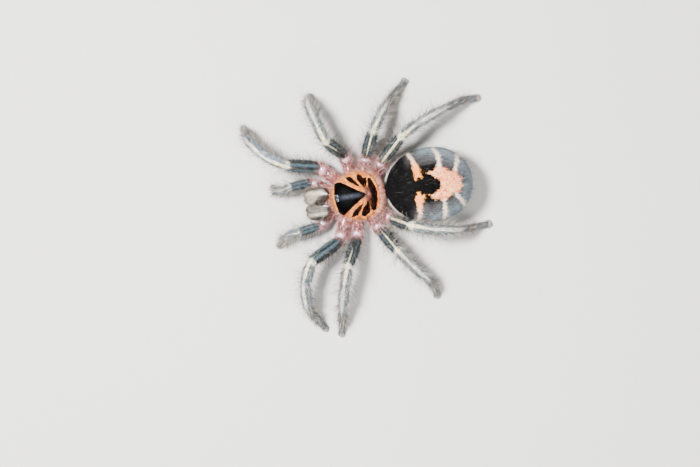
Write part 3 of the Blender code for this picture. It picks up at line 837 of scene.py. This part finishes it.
def chelicera_shape(side):
    """One jaw: a long block with round corners that droops towards its fang."""
    def shape(x, y, z):
        forward = (1 - y) / 2
        taper = 1 - 0.34 * smoothstep(0.5, 0.0, forward) - 0.30 * forward**4
        height = power(z, 0.75) * 1.35 * taper - 0.75 * smoothstep(0.25, 1.0, forward)
        inner = 0.84 + 0.28 * smoothstep(0.05, 0.6, forward)
        across = np.where(x > 0, power(x, 0.72) * taper, power(x, 0.42) * inner)
        return side * across * 1.25, power(y, 0.62) * 1.9, height
    return shape


def add_jaw(word, side):
    """A jaw that meets its twin along the midline, with its dark wedge of partly painted shade and the bare
    knob at its base, painted white as a glint.
    """
    name = f"chelicera_{word}"
    centre, half = node_box(name)
    centre, half = centre - (side * JAW_CLOSE / 2, 0, 0), half + (JAW_CLOSE / 2, 0, 0)
    form = Form(name, 90, 110, chelicera_shape(side), LIMB_COAT, box=(centre, half))
    (x, along, z), height = form.local.T, form.sphere[:, 2]
    ridges = (ripple(form.local * (1, 0.12, 0.4), 0.6, 8) * smoothstep(-0.3, 0.3, height)
              * smoothstep(1.7, 1.0, along))
    furrow = bell(x / 0.22) * smoothstep(0.2, -0.6, height)
    front = smoothstep(-0.2, -1.2, along)
    form.raise_by(0.02 * ridges - 0.25 * furrow * front + 0.012 * ripple(form.points, 0.7, 9))
    width, streaks, knob_glint = JAW_MARKS[word]
    across = x * side
    dark_and_shaded_wedge = width * smoothstep(-0.8, 0.7, along) - 1.25 - across
    # the bare knob's stroke, which the material paints near white as a glint
    knob_glint = stroke_distance(np.column_stack([across, along]), knob_glint)
    above = knob_glint - 2 * smoothstep(0.1, -0.25, height)
    marks = {"jaw": np.column_stack([across, along, z]), "dark_and_shaded_wedge": dark_and_shaded_wedge, "knob_glint": above,
             "streaks": np.full(len(x), streaks)}
    form.piece(f"{name}_skin", "jaw_skin", "chelicera", marks, [name])
    ahead = np.tile((0.0, -1.0, -0.15), (len(form.points), 1))
    haired = smoothstep(1.6, 1.3, along) * (1 - smoothstep(-0.12, 0.02, knob_glint))
    coat = Coat()
    form.hairs(coat, 3400, haired, ahead, (0.3, 0.55), 0.22, 0.1, 0.15, marks, 0.02)
    form.hairs(coat, 260, haired, ahead, (0.6, 1.1), 0.6, 0.25, 0.4, marks, 0.017, 3, 1.0)
    coat.piece(f"{name}_coat", "jaw_hair", "chelicera")


def add_fang(word, side):
    """A smooth fang from inside the jaw's front, curving down and folded back."""
    name = f"fang_{word}"
    centre, half = node_box(name)
    share = np.linspace(0, 1, 26)
    angle = share * math.pi * 0.56
    front, rear = centre[1] - half[1] + 0.25, centre[1] + half[1]
    line = np.stack([
        centre[0] + side * (0.1 - 0.2 * share),
        front + (rear - front) * (1 - np.cos(angle)) / (1 - math.cos(angle[-1])),
        centre[2] + half[2] + 0.75 - (2 * half[2] + 0.55) * np.sin(angle),
    ], -1)
    horn = tube(line, 0.27 * (1 - share) ** 0.7 + 0.02, 20)
    new_piece(f"{name}_horn", horn.points, horn.faces, "horn", "fang", replaces=[name])


# ---- abdomen ----
def abdomen_shape(x, y, z):
    """An egg, a little fuller behind and flatter underneath."""
    fuller = 1 + 0.05 * y * (1 - y * y)
    belly = np.where(z < 0, 0.97, 1.0)
    return power(x, 0.97) * fuller, power(y, 0.97) * 1.16, power(z, 0.96) * belly * fuller * 0.86


def add_abdomen():
    """The abdomen with its pale marks, dimples, furrow, folds and lungs."""
    form = Form("abdomen", 200, 210, abdomen_shape, BODY_COAT)
    local = form.local
    plan, (x, y, z) = local[:, :2], local.T
    shifted = plan + ragged(form.points, 0.55, 21, 0.14)
    bands = best_of(stroke_distance(shifted, stroke) for stroke in ABDOMEN_BANDS.values())
    patch = outline_distance(shifted, ABDOMEN_PATCH)
    bands, patch = (np.where(z > -0.6, mark, -2.0) for mark in (bands, patch))
    dimples = sum(bell((np.abs(x) - across) / 0.3, (y - along) / 0.42)
                  for across, along in ((1.3, -2.6), (1.5, 0.4), (1.2, 3.0))) * smoothstep(0.5, 2.0, z)
    furrow = bell((y + 2.6) / 0.16) * smoothstep(-1.5, -3.4, z)
    lungs = best_of(1 - np.hypot((np.abs(x) - 1.75) / 1.0, (y - along) / 0.75) for along in (-3.5, -1.2))
    lungs = np.where(z < -1, lungs + 0.12 * ripple(form.points, 0.5, 16), -2.0)
    folds = ripple(form.points * (0.4, 1, 1), 1.5, 14) * smoothstep(0.5, -0.8, form.sphere[:, 2])
    form.raise_by(-0.05 * dimples - 0.14 * furrow + 0.06 * smoothstep(0, 0.3, lungs) + 0.03 * folds
                  + 0.02 * ripple(form.points, 2.5, 15))
    edge = np.hypot(*(plan / form.half[:2]).T)
    marks = {"bands": bands, "patch": patch, "lungs": lungs, "plan": local, "edge": edge}
    form.piece("abdomen_skin", "abdomen_skin", "abdomen", marks, ["abdomen"])
    return form, marks


def abdomen_coats(form, marks):
    """Dense flat pile that runs rearwards, longer hairs above it, and bristles at the rear."""
    rearward = np.tile((0.0, 1.0, 0.0), (len(form.points), 1)) + form.normals * (1, 0, 1) * 0.25
    rearward += np.outer(smoothstep(0.6, 1.0, form.sphere[:, 1]), (0, 0, -1))
    bare = 1 - 0.85 * smoothstep(0, 0.3, marks["lungs"])
    pile = Coat()
    form.hairs(pile, 42000, bare, rearward, (0.26, 0.42), 0.30, 0.10, 0.1, marks, 0.021)
    pile.piece("abdomen_pile", "abdomen_hair", "abdomen")
    loose = Coat()
    form.hairs(loose, 3200, bare, rearward, (0.4, 0.8), 0.5, 0.2, 0.3, marks, 0.015, 2, 0.5)
    low = smoothstep(0.75, 0.3, form.sphere[:, 2])
    rear = low * (smoothstep(0.1, 0.9, form.sphere[:, 1]) + 0.15)
    form.hairs(loose, 700, rear, rearward, (0.9, 1.8), 0.8, 0.3, 0.4, marks, 0.014, 3, 1.0)
    loose.piece("abdomen_hairs", "abdomen_hair", "abdomen")


def add_spinneret(word, side):
    """A large three-part spinneret, and a small one on its inner side."""
    name = f"spinneret_{word}"
    start, end = node_axis(name, node_box("abdomen")[0])
    share = np.linspace(-0.25, 1, 34)
    pinches = sum(bell((share - joint) / 0.04) for joint in (0.38, 0.7))
    size = half_width(name, start, end) * (1 - 0.3 * share) * (1 - 0.28 * pinches)
    size *= np.sqrt(np.clip(1 - np.clip((share - 0.84) / 0.16, 0, 1) ** 2, 0.01, 1))
    add_tube(f"{name}_skin", start + share[:, None] * (end - start), size - 0.03, [name])
    share = np.linspace(0, 1, 14)
    line = start + (-side * 0.42, 0.0, -0.1) + share[:, None] * np.array([0, 0.75, -0.02])
    add_tube(f"{name}_small", line, 0.19 * np.sqrt(np.clip(1 - share**3, 0.01, 1)), [])


def add_tube(name, line, radii, replaces):
    """A small haired tube with the abdomen's marks."""
    form, coat, count = tube(line, radii, 22), Coat(), 420
    rear = form.points[:, 1]
    far = np.full(len(rear), -2.0)
    local = form.points - node_box("abdomen")[0]
    marks = {"bands": far, "patch": far, "lungs": far, "plan": local, "edge": far + 3}
    form.piece(name, "abdomen_skin", "abdomen", marks, replaces)
    form.scatter(count)
    carried = {**form.carried(marks), "root": form.roots, "kind": np.zeros(count)}
    heads = unit(form.at(form.normals) * 0.5 + unit(line[-1] - line[0])
                 + RANDOM.normal(size=(count, 3)) * 0.15)
    around = np.arctan2(*(form.roots - line[0])[:, [0, 2]].T) / (2 * math.pi) + 0.5
    along = (form.roots[:, 1] - rear.min()) / np.ptp(rear)
    places = np.clip(np.stack([around, along], -1), MAP_EDGE, 1 - MAP_EDGE)
    coat.add(form.roots, heads, heads * 0, RANDOM.uniform(0.18, 0.34, count), carried, places, 0.018)
    coat.piece(f"{name}_coat", "abdomen_hair", "abdomen")


# ---- the trunk under the carapace ----
def sternum_shape(x, y, z):
    point = 1 - 0.45 * smoothstep(0.0, 1.0, y)
    return power(x, 0.9) * point, y, power(z, 0.7)


def flank_shape(x, y, z):
    return power(x, 0.8), power(y, 0.85), z


def lip_shape(x, y, z):
    return power(x, 0.7) * (1 + 0.15 * y), power(y, 0.7), z


def waist_shape(x, y, z):
    return power(x, 0.8) * (1 - 0.1 * np.cos(y * 9)), power(y, 0.7), power(z, 0.8)


def jaw_root_shape(x, y, z):
    return power(x, 0.6), power(y, 0.8), power(z, 0.7) - 0.3 * y


def add_trunk():
    """The soft flanks between shield and hips, the sternum with its lip, and the narrow waist."""
    plate, half = node_box("sternum")
    box = plate + (0, -0.2, 0.85), np.array([3.25, 4.0, 1.0])
    core = Form("", 50, 90, flank_shape, 0, "z", box)
    core.raise_by(0.05 * ripple(core.points, 0.9, 31))
    add_haired(core, "flanks", 3200, (0.5, 1.3), "hip")
    sternum = Form("sternum", 60, 90, sternum_shape, PLATE_COAT, "z")
    x, y, _ = sternum.local.T
    pits = sum(np.exp(-((np.abs(x) - across) ** 2 + (y - along) ** 2) / 0.012)
               for across, along in ((1.15, -0.9), (1.25, 0.3), (0.7, 1.35)))
    sternum.raise_by(-0.05 * pits * (sternum.sphere[:, 2] < 0))
    add_haired(sternum, "sternum_plate", 1500, (0.25, 0.5), "sternum", ["sternum"], 1.0)
    box = plate + (0, -half[1] - 0.35, -0.35), np.array([0.62, 0.5, 0.4])
    add_haired(Form("", 30, 40, lip_shape, 0, "z", box), "lip", 160, (0.2, 0.4), "sternum", brown=1.0)
    waist = Form("pedicel", 40, 50, waist_shape, 0.03)
    waist.points[:, 1] = waist.centre[1] + waist.local[:, 1] * 1.35
    add_haired(waist, "waist", 900, (0.4, 0.9), "hip", ["pedicel"])


def add_jaw_root():
    """The soft joint between the jaws and the body, under the front rim of the shield."""
    boxes = [node_box(f"chelicera_{word}") for word in SIDES]
    middle = (boxes[0][0] + boxes[1][0]) / 2
    rear = max(centre[1] + half[1] for centre, half in boxes)
    box = np.array([middle[0], rear + 0.15, middle[2] - 0.92]), np.array([1.7, 1.1, 0.8])
    root = Form("", 40, 60, jaw_root_shape, 0, "y", box)
    root.raise_by(0.03 * ripple(root.points, 0.5, 41))
    add_haired(root, "jaw_root", 300, (0.2, 0.4), "hip", brown=0.75)


def add_haired(form, name, count, lengths, slot, replaces=(), brown=0.0):
    """A small form and its thin coat, with the marks of the hips and a share of the sternum's brown."""
    same = np.ones(len(form.points))
    marks = {"limb": np.tile((0.5, 1.0, 0.0), (len(form.points), 1)), "stripe": -same, "sheen_band": -same,
             "plate": same * brown}
    form.piece(name, "limb_skin", slot, marks, replaces)
    coat = Coat()
    form.hairs(coat, count, None, form.local * (1, 1, 0.2) + 0.01, lengths, 0.8, 0.3, 0.3, marks, 0.018, 2)
    coat.piece(f"{name}_coat", "limb_hair", slot)


# ---- materials ----
def tone(red, green, blue):
    """A scene colour from display values of 0 to 255."""
    return (*(((c / 255 + 0.055) / 1.055) ** 2.4 if c > 10 else c / 3294.6 for c in (red, green, blue)), 1.0)


def arithmetic(operation, turned=False):
    """A method of Wire that adds a Math node, with the wire itself last if turned."""
    def method(self, *others):
        values = (*others, self) if turned else (self, *others)
        return self.paint.node("ShaderNodeMath", dict(enumerate(values)), operation=operation)
    return method


class Wire:
    """A node's output. Arithmetic on it adds nodes, and a colour is given as display values of 0 to 255."""

    __add__, __sub__, __rsub__ = arithmetic("ADD"), arithmetic("SUBTRACT"), arithmetic("SUBTRACT", True)
    __mul__, __truediv__, __pow__ = arithmetic("MULTIPLY"), arithmetic("DIVIDE"), arithmetic("POWER")
    __abs__, most = arithmetic("ABSOLUTE"), arithmetic("MAXIMUM")

    def __init__(self, paint, socket):
        self.paint, self.socket = paint, socket

    def step(self, low, high, start=0.0, end=1.0):
        """Goes smoothly from start to end as this value goes from low to high."""
        inputs = {"Value": self, "From Min": low, "From Max": high, "To Min": start, "To Max": end}
        return self.paint.node("ShaderNodeMapRange", inputs, interpolation_type="SMOOTHSTEP")

    def mix(self, first, second):
        """The first colour, turned to the second by this share."""
        return self.paint.node("ShaderNodeMix", {0: self, 6: first, 7: second}, 2, data_type="RGBA")

    def ramp(self, *stops):
        """Colours by this share, from stops of a share and a colour."""
        made = self.paint.node("ShaderNodeValToRGB", {0: self})
        elements = made.socket.node.color_ramp.elements
        while len(elements) < len(stops):
            elements.new(0.5)
        for element, (place, colour) in zip(elements, stops):
            element.position = place
            element.color = tone(*colour)
        return made

    def bright(self, share):
        inputs = {"Hue": 0.5, "Saturation": 1.0, "Value": share, "Color": self}
        return self.paint.node("ShaderNodeHueSaturation", inputs)

    def shaded(self, low, high):
        """This colour, made darker or lighter from hair to hair."""
        return self.bright(self.paint.mark("shade").step(0.0, 1.0, low, high))


class Paint:
    """The nodes of one material."""

    def __init__(self, name):
        self.material = bpy.data.materials.new(name)
        self.material.use_nodes = True
        self.tree = self.material.node_tree
        self.shader = self.tree.nodes["Principled BSDF"]

    def node(self, kind, inputs, output=0, **settings):
        """An output of a new node."""
        made = self.tree.nodes.new(kind)
        for key, value in settings.items():
            setattr(made, key, value)
        for key, value in inputs.items():
            self.put(made.inputs[key], value)
        return Wire(self, made.outputs[output])

    def put(self, socket, value):
        if isinstance(value, Wire):
            self.tree.links.new(value.socket, socket)
        else:
            socket.default_value = tone(*value) if socket.type == "RGBA" else value

    def mark(self, name, output="Fac"):
        """A mark stored on the mesh."""
        return self.node("ShaderNodeAttribute", {}, output, attribute_name=name)

    def parts(self, name):
        """The three parts of a mark."""
        vector = self.mark(name, "Vector")
        return [self.node("ShaderNodeSeparateXYZ", {0: vector}, part) for part in "XYZ"]

    def noise(self, size, detail=3.0, stretch=None):
        """Noise with features of a size in millimetres, fixed to the place on the skin."""
        place = self.mark("root", "Vector")
        if stretch:
            place = self.node("ShaderNodeVectorMath", {0: place, 1: stretch}, operation="MULTIPLY")
        inputs = {"Vector": place, "Scale": 1 / size, "Detail": detail, "Roughness": 0.6}
        return self.node("ShaderNodeTexNoise", inputs)

    def finish(self, colour, roughness, bump=None, strength=0.3, distance=0.03, **sockets):
        """The material, with further sockets of its shader by name."""
        values = {key.replace("_", " ").title().replace("Ior", "IOR"): sockets[key] for key in sockets}
        values |= {"Base Color": colour, "Roughness": roughness}
        if bump:
            inputs = {"Height": bump, "Strength": strength, "Distance": distance * MM}
            values["Normal"] = self.node("ShaderNodeBump", inputs)
        for key, value in values.items():
            self.put(self.shader.inputs[key], value)
        return self.material


def limb_material(name, hair):
    """Pink hips with painted highlights on the trochanters, dark thighs with painted blue-grey sheen, a pale
    ring at each knee, then blue-grey with a cream stripe.
    """
    paint = Paint(name)
    number, top, _ = paint.parts("limb")
    fine, broad, clumps = paint.noise(0.22), paint.noise(1.2), paint.noise(0.35, 2.0)
    pink, lilac, dark = (180, 82, 66), (184, 116, 118), (8, 13, 16)
    ring, blue, tip = (250, 244, 226), (102, 122, 134), (226, 204, 198)
    ground = ((number + (fine - 0.5) * 0.12) / 7.0).ramp(
        (0.0, pink), (0.112, (160, 66, 54)), (0.144, (54, 10, 10)), (0.172, lilac), (0.262, lilac),
        (0.285, (60, 30, 30)), (0.298, dark), (0.418, dark), (0.424, ring), (0.433, ring),
        (0.442, (74, 90, 99)), (0.555, blue), (0.571, (170, 172, 168)), (0.588, blue),
        (0.70, (92, 109, 119)), (0.716, (168, 178, 184)), (0.74, (80, 93, 100)), (0.86, (90, 97, 102)),
        (0.965, (104, 103, 103)), (0.985, tip), (1.0, tip),
    )
    shy = number.step(2.9, 3.1, 0.15, 0.8).most(number.step(2.1, 1.9, 0.0, 0.4))
    ground = (top.step(0.3, -0.6) * shy).mix(ground, (40, 44, 48))
    edge = (fine - 0.5) * 0.25
    # painted sheen: blue-grey bands beside the top line stand in for light reflected off the dark hair of
    # the thighs and palps
    ground = (paint.mark("sheen_band") + edge).step(-0.16, 0.16, 0.0, 0.85).mix(ground, (84, 108, 120))
    cream = (number / 7.0).ramp((0.0, (240, 228, 196)), (0.42, (246, 232, 198)), (0.44, (255, 238, 184)),
                                (0.56, (252, 246, 224)), (0.70, (232, 229, 221)), (1.0, (206, 204, 202)))
    stripe = (paint.mark("stripe") + edge).step(-0.1, 0.12) * clumps.step(0.24, 0.42, 0.35, 1.0)
    colour = stripe.mix(ground, cream).bright(clumps.step(0.3, 0.7, number.step(1.9, 2.1, 0.5, 0.78), 1.2))
    plate, hip = paint.mark("plate"), number.step(1.9, 2.15, 1.0, 0.0)
    if hair:
        shade = paint.mark("shade")
        light = shade.step(0.66, 0.95, 0.0, 0.75) * number.step(2.95, 3.1, 0.2, 1.0)
        colour = (light * number.step(4.6, 5.4, 1.0, 0.5)).mix(colour, (222, 228, 230))
        dim = shade.step(0.34, 0.05, 0.0, 0.7) * number.step(2.9, 3.1, 1.0, 0.6)
        colour = dim.mix(colour, (30, 34, 38))
        wisp = shade.ramp((0.0, (80, 66, 54)), (0.5, (138, 120, 100)), (1.0, (216, 200, 178)))
        colour = (paint.mark("kind") * number.step(2.9, 3.1, 0.35, 1.0) * 0.75).mix(colour, wisp)
        pinkish = shade.ramp((0.0, (40, 6, 6)), (0.44, (132, 50, 44)), (0.76, (208, 142, 134)),
                             (1.0, (255, 240, 236)))
        colour = number.step(1.9, 2.15, 0.85, 0.0).mix(colour, pinkish)
        colour = (plate * 0.85).mix(colour, (104, 74, 56))
        return paint.finish(colour.shaded(0.55, 1.35), 0.55, specular_ior_level=0.3)
    colour = broad.step(0.55, 0.8).mix(colour, colour.shaded(0.9, 0.7))
    # painted highlight: a pale lilac tone on the bare trochanter tops stands in for glints of light
    knob_glint = number.step(1.25, 1.5) * number.step(1.95, 1.75) * top.step(0.55, 0.95, 0.0, 0.6)
    colour = knob_glint.mix(colour, (214, 200, 220))
    colour = (plate * 0.95).mix(colour, (60, 36, 25))
    rough = number.step(1.9, 2.15, 0.2, 0.62).most(plate * 0.7)
    gloss = hip * top.step(-0.3, 0.3) * (1.0 - plate)
    return paint.finish(colour, rough, fine, 0.3, 0.04, specular_ior_level=0.6, coat_weight=gloss,
                        coat_roughness=0.22)


def abdomen_material(name, hair):
    """Velvet black in front, blue-grey at the sides and rear from grey hair and painted velvet sheen, with
    pale bands, a patch and the lungs.
    """
    paint = Paint(name)
    fine, broad, mottle = paint.noise(0.2), paint.noise(1.6), paint.noise(0.34, 4.0)
    across, along, height = paint.parts("plan")
    edge, shade = paint.mark("edge"), paint.mark("shade")
    # partly painted sheen: the blue-grey towards the edges is grey hair tips and also a painted velvet
    # sheen; the front stays black
    share = (edge + (broad - 0.5) * 0.3).step(0.30, 1.02) * along.step(-4.6, 0.2, 0.1, 1.0)
    ground = share.ramp((0.0, (2, 2, 2)), (0.15, (16, 15, 16)), (0.36, (76, 72, 73)), (0.7, (98, 102, 106)),
                        (1.0, (148, 161, 170)))
    ground = ground.bright(along.step(3.2, 6.4, 1.0, 0.8))
    ground = ground.bright(paint.noise(0.32, 3.0, (1.0, 0.3, 1.0)).step(0.3, 0.7, 0.7, 1.3))
    flank = along.step(-2.1, -2.9) * (edge + along.step(-4.3, -6.6, 0.0, 0.09)).step(0.97, 0.99)
    flank = flank * abs(across).step(0.9, 2.0) * abs(across).step(2.4, 4.2, 1.0, 0.7)
    low = height.step(1.3, 0.6) * height.step(-0.4, 0.05, 0.0, 0.9)
    ground = (flank * low).mix(ground, (255, 238, 230))
    ground = (height.step(-1.0, -3.2) * broad.step(0.3, 0.7, 0.7, 1.0)).mix(ground, (112, 98, 90))
    ground = paint.mark("lungs").step(0.0, 0.25).mix(ground, (184, 152, 126))
    rag = (paint.noise(0.15, 2.0, (1.0, 0.35, 1.0)) - 0.5) * 0.8
    if hair:
        rag = rag + (shade - 0.5) * 0.28
    outer = abs(across).step(2.2, 5.4) + along.step(0.2, 1.6)
    patch = mottle.step(0.36, 0.54).mix((255, 216, 166), (255, 176, 118))
    patch = mottle.step(0.51, 0.61).mix(patch, (234, 96, 66))
    marks = {"bands": outer.mix((255, 166, 78), (255, 234, 212)), "patch": patch}
    colour = ground
    for key, mark_colour in marks.items():
        colour = (paint.mark(key) + rag).step(-0.06, 0.07).mix(colour, mark_colour)
    if hair:
        wisp = shade.ramp((0.0, (30, 25, 23)), (0.6, (78, 72, 68)), (1.0, (170, 160, 150)))
        colour = (paint.mark("kind") * 0.6).mix(colour, wisp)
        low = paint.mark("bands").most(paint.mark("patch")).step(-0.1, 0.1, 0.65, 0.95)
        return paint.finish(colour.shaded(low, 1.35), 0.6, specular_ior_level=0.08)
    return paint.finish(colour, 0.7, fine, 0.4, 0.05, specular_ior_level=0.08)


def carapace_material(name, hair):
    """Orange, with dark rays round a dull pit, a black wedge with a painted grey highlight along its
    midline, and a pinkish fringe.
    """
    paint = Paint(name)
    fine, broad = paint.noise(0.16), paint.noise(0.7, 4.0)
    across, along, reach = paint.parts("plan")
    rays, rag = paint.mark("rays"), (fine - 0.5) * 0.22
    ground = broad.step(0.35, 0.65).mix((208, 112, 50), (250, 172, 98))
    ground = (reach + rag).step(0.93, 1.0).mix(ground, (200, 108, 76))
    near = across * across + (along - FOVEA[1]) ** 2.0
    ground = near.step(1.3, 0.2, 0.0, 0.9).mix(ground, (142, 100, 92))
    ground = (rays.step(-0.42, 0.0) * near.step(2.6, 0.8)).mix(ground, (104, 58, 48))
    ground = ground.bright(along.step(-2.5, -3.5, 1.0, 0.72))
    ground = (rays + rag).step(-0.05, 0.08).mix(ground, broad.step(0.45, 0.75).mix((9, 4, 3), (52, 20, 11)))
    # painted highlight: the grey line along the middle of the black wedge stands in for a reflection on the
    # glossy head
    line = abs(across).step(0.62, 0.0) * (along.step(1.6, 0.2) * along.step(-3.2, -1.6))
    black = (line * fine.step(0.25, 0.8, 0.1, 0.55)).mix((1, 1, 1), (84, 88, 98))
    colour = (paint.mark("caput") + rag).step(-0.05, 0.05).mix(ground, black)
    if hair:
        fringe = paint.mark("shade").ramp((0.0, (150, 74, 58)), (0.5, (222, 146, 118)),
                                          (1.0, (255, 216, 198)))
        colour = (paint.mark("kind") * 0.8).mix(colour, fringe)
        return paint.finish(colour.shaded(0.6, 1.3), 0.5, specular_ior_level=0.1)
    return paint.finish(colour, 0.56, broad, 0.25, 0.04, specular_ior_level=0.03)


def jaw_material(name, hair):
    """Grey and cream in lengthwise lines, with painted shade at the outer sides, front tip, base and
    underneath, a partly painted dark inner base, and a bare knob painted white as a glint.
    """
    paint = Paint(name)
    fine, streak = paint.noise(0.16, 3.0, (1.0, 0.22, 1.0)), paint.noise(0.28, 2.0, (1.0, 0.07, 1.0))
    across, along, height = paint.parts("jaw")
    streaks = paint.mark("streaks")
    lines = streak.step(0.36, 0.62) * streaks.step(0.2, 1.0, 0.5, 1.0)
    colour = lines.mix((186, 176, 156), (60, 53, 45))
    colour = streaks.step(0.4, 1.0, 0.0, 0.42).mix(colour, (96, 94, 90))
    colour = abs(across - 0.42).step(0.42, 0.05, 0.0, 0.6).mix(colour, (222, 214, 194))
    # partly painted shade: the dark wedge at the inner base is dark skin and also painted shade between the
    # two jaws
    dark_and_shaded_wedge = (paint.mark("dark_and_shaded_wedge") + (fine - 0.5) * 0.5).step(-0.16, 0.22, 0.0, 0.92)
    # painted shade: darker at the outer sides and the drooping front tip, and a painted shadow at the base
    # under the carapace rim
    dim = across.step(0.66, 1.0, 0.0, 0.9).most(along.step(-1.3, -1.85, 0.0, 0.8))
    colour = dark_and_shaded_wedge.most(dim.most(along.step(1.3, 1.55, 0.0, 0.85))).mix(colour, (42, 37, 36))
    # painted shade: darker underneath, so the gap between the jaws reads dark
    colour = height.step(-0.1, -1.0).mix(colour, (100, 90, 80))
    # painted highlight: the bare knob at the jaw's base is painted near white as a glint, and made glossy
    knob_glint = paint.mark("knob_glint").step(-0.04, 0.08)
    colour = knob_glint.mix(colour, (240, 240, 248))
    if hair:
        colour = (paint.mark("kind") * 0.6).mix(colour, (190, 172, 148))
        return paint.finish(colour.shaded(0.6, 1.3), 0.5, specular_ior_level=0.3)
    return paint.finish(colour, knob_glint.step(0.0, 1.0, 0.5, 0.12), fine, 0.4, 0.04)


def horn_material(name, base, tip, roughness, coat, pearly_and_glinting=False):
    """Smooth hard material with slow changes of colour, pale where the mesh is marked as pearly, a pale tone
    that is partly a painted glint.
    """
    paint = Paint(name)
    place = paint.node("ShaderNodeTexCoord", {}, "Object")
    noise = paint.node("ShaderNodeTexNoise", {"Vector": place, "Scale": 1 / (0.6 * MM), "Detail": 2.0})
    colour = noise.step(0.35, 0.65).mix(base, tip)
    if pearly_and_glinting:
        # partly painted highlight: pearly eyes are pale blue-grey, a tone that also stands in for their
        # glints
        colour = paint.mark("pearl_and_glint").mix(colour, (112, 128, 148))
    return paint.finish(colour, roughness, noise, 0.1, 0.01, coat_weight=coat, coat_roughness=0.04)


# ---- floor, lights and camera ----
def add_floor():
    corners = np.array([(-1, -1, 0), (1, -1, 0), (1, 1, 0), (-1, 1, 0)], float) * FLOOR_SIZE
    mesh = new_mesh("floor", corners, [(0, 1, 2), (0, 2, 3)], {"root": corners})
    floor = bpy.data.objects.new("floor", mesh)
    bpy.context.scene.collection.objects.link(floor)
    paint = Paint("floor")
    colour = paint.noise(60.0).mix((206, 204, 200), (212, 210, 206))
    mesh.materials.append(paint.finish(colour, 0.85, paint.noise(1.5), 0.05, 0.05))


def add_light(name, place, aim, size, watts):
    light = bpy.data.lights.new(name, "AREA")
    light.shape, light.size, light.energy = "DISK", size * MM, watts
    lamp = bpy.data.objects.new(name, light)
    lamp.location = np.array(place) * MM
    lamp.rotation_euler = (Vector(place) - Vector(aim)).to_track_quat("Z", "Y").to_euler()
    bpy.context.scene.collection.objects.link(lamp)


def add_view():
    centre, _ = node_box("carapace")
    data = bpy.data.cameras.new("camera")
    data.lens, data.clip_start = CAMERA_LENS, 0.01
    camera = bpy.data.objects.new("camera", data)
    camera.location = np.array((centre[0] + CAMERA_AIM[0], centre[1] + CAMERA_AIM[1], CAMERA_HEIGHT)) * MM
    camera.rotation_euler = (0, 0, math.radians(CAMERA_TURN))
    bpy.context.scene.collection.objects.link(camera)
    bpy.context.scene.camera = camera
    world = bpy.data.worlds.new("world")
    world.use_nodes = True
    sky = world.node_tree.nodes["Background"].inputs
    sky["Color"].default_value, sky["Strength"].default_value = SKY, SKY_STRENGTH
    bpy.context.scene.world = world
    aim = (centre[0], centre[1], 0)
    add_light("key", (centre[0] - 50, centre[1] - 110, 300), aim, 60, 4.3)
    add_light("fill", (centre[0] + 160, centre[1] + 60, 240), aim, 260, 0.9)


def add_materials():
    """A skin and a hair material of each sort, and three of horn."""
    sorts = {"limb": limb_material, "carapace": carapace_material, "jaw": jaw_material,
             "abdomen": abdomen_material}
    for stem, make in sorts.items():
        make(f"{stem}_skin", False)
        make(f"{stem}_hair", True)
    horn_material("horn", (24, 12, 10), (60, 26, 16), 0.25, 0.4)
    horn_material("eye_glass", (6, 4, 4), (14, 9, 8), 0.06, 1.0, True)
    horn_material("eye_mound", (4, 3, 3), (12, 8, 7), 0.5, 0.1)


def main():
    add_view()
    add_floor()
    add_materials()
    limbs = [add_limb(word, side, kind) for word, side in SIDES.items() for kind in LEG_TURNS]
    add_claws([limb for limb in limbs if limb.kind != "palp"])
    add_trunk()
    carapace_coat(*add_carapace())
    add_eyes()
    for word, side in SIDES.items():
        add_jaw(word, side)
        add_fang(word, side)
    abdomen_coats(*add_abdomen())
    for word, side in SIDES.items():
        add_spinneret(word, side)
    add_jaw_root()


main()
